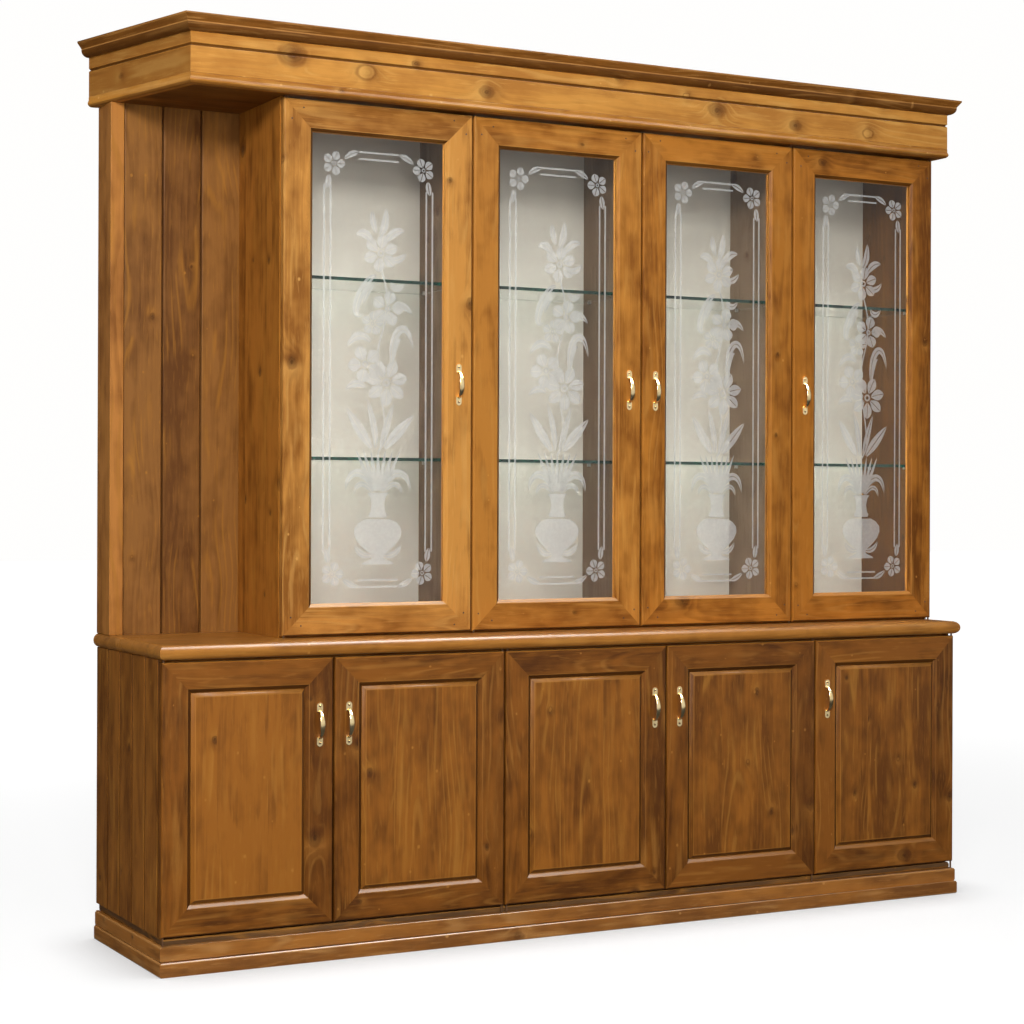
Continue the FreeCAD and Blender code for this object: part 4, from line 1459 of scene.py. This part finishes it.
@dataclass
class GlazedDoor:
    """Etched ornament and nail plugs of one hutch door; shares are of the pane's sight width and height."""

    number: int
    sight_inset: float = 0.075
    frost_lift: float = 0.0002
    line_width: float = 0.0046
    line_pitch: float = 0.0166
    line_share: float = 0.41
    line_drop: float = 0.038
    line_reach: float = 0.122
    top_line_share: float = 0.15
    flower_share: float = 0.34
    flower_drop: float = 0.070
    flower_radius: float = 0.030
    flower_petals: int = 5
    flower_lean: float = 20.0
    inner_leaf: tuple[Point, ...] = ((-0.028, -0.013), (-0.048, -0.026), (-0.066, -0.031))
    inner_leaf_width: float = 0.014
    outer_leaf: tuple[Point, ...] = ((0.012, 0.028), (0.014, 0.044))
    outer_leaf_width: float = 0.015
    leaf_end_inset: float = 0.006
    leaf_overlap: float = 0.010
    blades: int = 7
    blade: tuple[Point, ...] = ((0.014, 0.240), (0.030, 0.276), (0.056, 0.328))
    blade_width: float = 0.010
    stem: tuple[Point, ...] = ((0.0, 0.325), (0.035, 0.42), (-0.01, 0.52), (0.045, 0.60), (0.015, 0.72))
    stem_width: float = 0.0042
    plug_radius: float = 0.0024
    plug_taper: float = 0.8
    plug_depth: float = 0.0008
    plug_lift: float = 0.0002
    plug_sides: int = 14
    plug_places: tuple[Point, ...] = ((0.050, 0.021), (0.019, 0.046))
    plug_scatter: float = 0.004

    def name(self, what: str) -> str:
        """Name of one of this door's pieces or nodes."""
        return f"hutch_door_{self.number}_{what}"

    def borders(self, art: Ornament, sight: Sight) -> None:
        """Draws the double border lines and the corner flowers.

        Args:
            art: The drawing.
            sight: The pane's sight.
        """
        outer, thin = self.line_share * sight.width, self.line_width / 2
        half = self.top_line_share * sight.width
        ends = ((sight.height, -1), (0.0, 1))
        for side in (-1, 1):
            for k in range(2):
                x = side * (outer - k * self.line_pitch)
                art.bar((x - thin, self.line_reach), (x + thin, sight.height - self.line_reach))
            for edge, way in ends:
                x, y = side * self.flower_share * sight.width, edge + way * self.flower_drop
                art.blossom((x, y), self.flower_radius, self.flower_petals, 90 + self.flower_lean * side)
                art.frond([(x + side * u, y + way * v) for u, v in self.inner_leaf], self.inner_leaf_width)
                path = [(x + side * u, y + way * v) for u, v in self.outer_leaf]
                path.append((side * (outer - self.leaf_end_inset),
                             edge + way * (self.line_reach + self.leaf_overlap)))
                art.frond(path, self.outer_leaf_width)
        for edge, way in ends:
            for k in range(2):
                y = edge + way * (self.line_drop + k * self.line_pitch)
                art.bar((-half, y - thin), (half, y + thin))

    def vase(self, art: Ornament, sight: Sight) -> None:
        """Draws the vase with its handle leaves.

        Args:
            art: The drawing.
            sight: The pane's sight.
        """
        for outline in (VASE_BODY, VASE_NECK):
            art.strip([sight.at(0.0, v) for v, _ in outline], [wide for _, wide in outline])
        for side in (-1, 1):
            for wide, *path in VASE_LEAVES:
                art.frond([sight.at(side * u, v) for u, v in path], wide)

    def spray(self, art: Ornament, sight: Sight) -> None:
        """Draws the blades, stem, leaves and flowers over the vase.

        Args:
            art: The drawing.
            sight: The pane's sight.
        """
        for k in range(self.blades):
            art.frond([sight.at(u * (k - self.blades // 2), v) for u, v in self.blade], self.blade_width)
        art.stem([sight.at(u, v) for u, v in self.stem], self.stem_width)
        for wide, *path in SPRAY_LEAVES:
            art.frond([sight.at(u, v) for u, v in path], wide)
        for u, v, radius, petals, turn in SPRAY_FLOWERS:
            art.blossom(sight.at(u, v), radius, petals, turn)

    def etch(self, finishes: Finishes) -> bpy.types.Object:
        """Builds the etched ornament on the pane's front.

        Args:
            finishes: The dresser's materials.

        Returns:
            The new piece.
        """
        low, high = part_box(self.name("frame"))
        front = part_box(self.name("glass"))[0].y - self.frost_lift
        sight = Sight(high.x - low.x - 2 * self.sight_inset, high.z - low.z - 2 * self.sight_inset)
        art = Ornament()
        self.borders(art, sight)
        self.vase(art, sight)
        self.spray(art, sight)
        middle, foot = (low.x + high.x) / 2, low.z + self.sight_inset
        name = self.name("etching")
        mesh = bpy.data.meshes.new(name)
        mesh.from_pydata([(middle + u, front, foot + v) for u, v in art.points], [], art.faces)
        made = add_piece(name, mesh, finishes.frost, f"hutch_door_{self.number}")
        LOG.info("%s: %d faces", made.name, len(art.faces))
        return made

    def plug(self, finishes: Finishes) -> bpy.types.Object:
        """Builds the filled nail holes beside the mitres.

        Args:
            finishes: The dresser's materials.

        Returns:
            The new piece.
        """
        low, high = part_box(self.name("frame"))
        chance = random.Random(self.number)
        whole = bmesh.new()
        corners = [(x, z) for x in ((low.x, 1), (high.x, -1)) for z in ((low.z, 1), (high.z, -1))]
        for (x, way_x), (z, way_z) in corners:
            for u, v in self.plug_places:
                aside = u + chance.uniform(-self.plug_scatter, self.plug_scatter)
                above = v + chance.uniform(-self.plug_scatter, self.plug_scatter)
                place = Vector((x + way_x * aside, low.y + self.plug_lift, z + way_z * above))
                lie = Matrix.Translation(place) @ Matrix.Rotation(math.pi / 2, 4, "X")
                bmesh.ops.create_cone(whole, cap_ends=True, segments=self.plug_sides,
                                      radius1=self.plug_radius, radius2=self.plug_radius * self.plug_taper,
                                      depth=self.plug_depth, matrix=lie)
        name = self.name("nail_plugs")
        mesh = bpy.data.meshes.new(name)
        whole.to_mesh(mesh)
        whole.free()
        made = add_piece(name, mesh, finishes.filler, f"hutch_door_{self.number}")
        LOG.info("%s: %d plugs", made.name, len(corners) * len(self.plug_places))
        return made


@dataclass
class PullScrews:
    """Painted shade in the cross recesses of one pull's two screw heads: flat dark crosses."""

    door: str
    screw_run: float = 0.0163
    end_inset: float = 0.008
    arm: float = 0.0021
    half_width: float = 0.0009
    lift: float = 0.0001

    def cross(self) -> list[Point]:
        """Outline of one recess.

        Returns:
            Its points, quarter by quarter.
        """
        arm, half = self.arm, self.half_width
        quarter = [(half, arm), (half, half), (arm, half)]
        outline = []
        for _ in range(4):
            outline += quarter
            quarter = [(v, -u) for u, v in quarter]
        return outline[::-1]

    def build(self, finishes: Finishes) -> bpy.types.Object:
        """Builds the dark crosses of painted shade just proud of the screw heads.

        Args:
            finishes: The dresser's materials.

        Returns:
            The new piece.
        """
        low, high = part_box(self.door + "_pull")
        middle, front = (low.x + high.x) / 2, high.y - self.screw_run - self.lift
        cross = self.cross()
        points, faces = [], []
        for level in (low.z + self.end_inset, high.z - self.end_inset):
            faces.append(tuple(range(len(points), len(points) + len(cross))))
            points += [(middle + u, front, level + v) for u, v in cross]
        name = self.door + "_screw_painted_shade"
        mesh = bpy.data.meshes.new(name)
        mesh.from_pydata(points, [], faces)
        made = add_piece(name, mesh, finishes.filler, self.door)
        LOG.info("%s: %d recesses", made.name, len(faces))
        return made


class Task(Enum):
    """What a lamp is for."""

    BOTH = "both"
    LIGHT = "light"
    SHINE = "shine"


@dataclass(frozen=True)
class SoftBox:
    """A soft box lamp: power in watts, place, aim and size in metres, and its task."""

    name: str
    power: float
    place: Place
    aim: Place
    size: Point
    task: Task = Task.BOTH

    def build(self) -> None:
        """Adds the lamp."""
        light = bpy.data.lights.new(self.name, "AREA")
        light.shape = "RECTANGLE"
        light.size, light.size_y = self.size
        light.energy = self.power
        made = bpy.data.objects.new(self.name, light)
        way = Vector(self.place) - Vector(self.aim)
        made.matrix_world = Matrix.Translation(self.place) @ way.to_track_quat("Z", "Y").to_matrix().to_4x4()
        made.visible_camera = False
        made.visible_diffuse = self.task is not Task.SHINE
        made.visible_glossy = self.task is not Task.LIGHT
        made.visible_transmission = False
        bpy.context.scene.collection.objects.link(made)


@dataclass
class Studio:
    """Floor, world, lamps and camera."""

    floor_half: float = 30.0
    floor_grey: float = 0.30
    floor_rough: float = 0.6
    floor_specular: float = 0.1
    floor_gloss: float = 0.62
    floor_gloss_span: Point = (-2.0, -4.0)
    floor_dim_share: float = 0.15
    glow_near: float = 0.78
    glow_far: float = 1.0
    glow_span: Point = (2.0, 8.0)
    contact_reach: float = 0.18
    contact_shade: float = 0.80
    contact_samples: int = 8
    white: Colour = (1.0, 0.995, 0.985)
    ambient: float = 0.24
    front_gloss: float = 0.80
    rear_gloss: float = 0.05
    front_span: Point = (0.0, 0.8)
    sensor: float = 36.0
    lens: float = 74.63
    eye: Place = (-2.6935, -4.8084, 1.0807)
    azimuth: float = -28.150
    roll: float = 0.213
    shift: float = -0.01345
    lamps: tuple[SoftBox, ...] = (
        SoftBox("key", 165.0, (-2.6, -4.4, 3.3), (0.0, 0.0, 1.2), (0.9, 0.9)),
        SoftBox("front_fill", 68.0, (-0.8, -5.2, 1.9), (0.0, 0.0, 1.2), (1.5, 1.5), Task.LIGHT),
        SoftBox("nose_shine", 440.0, (1.15, -0.75, 4.4), (1.15, -0.4, 0.7), (1.9, 0.8), Task.SHINE),
        SoftBox("left_fill", 40.0, (-5.0, -1.4, 2.2), (-0.6, 0.0, 1.0), (2.0, 2.0), Task.LIGHT),
        SoftBox("overhead", 350.0, (1.0, -2.05, 4.2), (1.0, -0.2, 0.6), (3.6, 0.9), Task.SHINE),
        SoftBox("back_fill", 90.0, (0.5, 5.2, 2.6), (0.0, 0.2, 1.1), (5.0, 3.0), Task.LIGHT),
    )

    def white_for_sight(self, g: Graph, mirrored: Input, plain: float) -> bpy.types.NodeSocket:
        """White for rays that see the background.

        Args:
            g: Graph of the floor's or the world's material.
            mirrored: Strength in mirrored rays.
            plain: Strength in the rays that light the object.

        Returns:
            A value of 1 for rays in sight or through glass.
        """
        path = g.node("LightPath").outputs
        direct = g.math("LESS_THAN", path["Diffuse Depth"], 0.5)
        seen = g.math("MAXIMUM", path["Is Camera Ray"], g.times(path["Is Transmission Ray"], direct))
        unseen = g.scaled(path["Is Glossy Ray"], g.minus(mirrored, plain), plain)
        return g.math("MAXIMUM", seen, unseen)

    def world(self) -> None:
        """Soft white surround, mirrored brightly from the front and dimly from behind."""
        made = bpy.data.worlds.new("surround")
        made.use_nodes = True
        bpy.context.scene.world = made
        g = Graph(made.node_tree)
        light = made.node_tree.nodes["Background"]
        g.feed(light.inputs["Color"], self.white)
        way = g.split(g.node("TexCoord").outputs["Generated"])
        front = g.step(g.times(way[1], -1.0), *self.front_span)
        mirrored = g.scaled(front, self.front_gloss - self.rear_gloss, self.rear_gloss)
        g.feed(light.inputs["Strength"], self.white_for_sight(g, mirrored, self.ambient))

    def floor_material(self) -> bpy.types.Material:
        """Pale floor that keeps the object's shadow, with a painted contact shadow near the object, and runs
        out into white.

        Returns:
            The floor's material.
        """
        made, g, shader, result = new_material("pale_floor")
        grey = (self.floor_grey,) * 3
        dim = (self.floor_dim_share * self.floor_grey,) * 3
        g.feed(shader.inputs["Base Color"], g.mix(g.node("LightPath").outputs["Is Glossy Ray"], grey, dim))
        shader.inputs["Roughness"].default_value = self.floor_rough
        shader.inputs["Specular IOR Level"].default_value = self.floor_specular
        place = g.node("NewGeometry").outputs["Position"]
        away = g.fill(g.node("VectorMath", operation="LENGTH"), place).outputs["Value"]
        mirrored = g.times(g.step(g.split(place)[1], *self.floor_gloss_span), self.floor_gloss)
        level = g.scaled(g.step(away, *self.glow_span), self.glow_far - self.glow_near, self.glow_near)
        # Painted contact shadow: the glow dims where ambient occlusion finds the object close by.
        contact = g.node("AmbientOcclusion", samples=self.contact_samples)
        contact.inputs["Distance"].default_value = self.contact_reach
        level = g.times(level, g.scaled(contact.outputs["AO"], self.contact_shade, 1.0 - self.contact_shade))
        glow = g.node("Emission")
        g.feed(glow.inputs["Strength"], g.times(self.white_for_sight(g, mirrored, 0.0), level))
        both = g.fill(g.node("AddShader"), shader.outputs[0], glow.outputs[0])
        g.feed(result.inputs["Surface"], both.outputs[0])
        return made

    def floor(self) -> None:
        """Lays the floor."""
        half = self.floor_half
        mesh = bpy.data.meshes.new("pale_floor")
        corners = [(-half, -half, 0), (half, -half, 0), (half, half, 0), (-half, half, 0)]
        mesh.from_pydata(corners, [], [(0, 1, 2, 3)])
        mesh.materials.append(self.floor_material())
        made = bpy.data.objects.new("pale_floor", mesh)
        bpy.context.scene.collection.objects.link(made)

    def camera(self) -> None:
        """Camera at the photo's place."""
        lens = bpy.data.cameras.new("camera")
        lens.sensor_width = self.sensor
        lens.lens = self.lens
        lens.shift_y = self.shift
        made = bpy.data.objects.new("camera", lens)
        turn = Matrix.Rotation(math.radians(self.azimuth), 4, "Z") @ Matrix.Rotation(math.pi / 2, 4, "X")
        roll = Matrix.Rotation(math.radians(self.roll), 4, "Z")
        made.matrix_world = Matrix.Translation(self.eye) @ turn @ roll
        bpy.context.scene.collection.objects.link(made)
        bpy.context.scene.camera = made

    def build(self) -> None:
        """Sets up the whole studio."""
        bpy.context.scene.view_settings.view_transform = "Standard"
        self.world()
        self.floor()
        for lamp in self.lamps:
            lamp.build()
        self.camera()
        LOG.info("studio: floor, world, %d lamps and camera", len(self.lamps))


def slots_of_record() -> dict[str, Slot]:
    """Slot of every CAD node, as the frame's own materials name it."""
    known = {slot.value: slot for slot in Slot}
    return {name: known[made.data.materials[0].name.split(".")[0]] for name, made in frame["nodes"].items()}


def main() -> None:
    """Builds the sub-assemblies in order and reports each piece."""
    logging.basicConfig(level=logging.INFO, format="%(name)s: %(message)s")
    finishes = Finishes()
    left = slots_of_record()
    for woodwork in (Doors(), Base(), Plinth(), Counter(), Hutch(), Niche(), Cornice()):
        left = woodwork.build(left, finishes)
    Fittings(left).dress(finishes)
    for number in range(1, 5):
        door = GlazedDoor(number)
        door.etch(finishes)
        door.plug(finishes)
    for door in [f"base_door_{k}" for k in range(1, 6)] + [f"hutch_door_{k}" for k in range(1, 5)]:
        PullScrews(door).build(finishes)
    Studio().build()


if __name__ == "__main__":
    main()
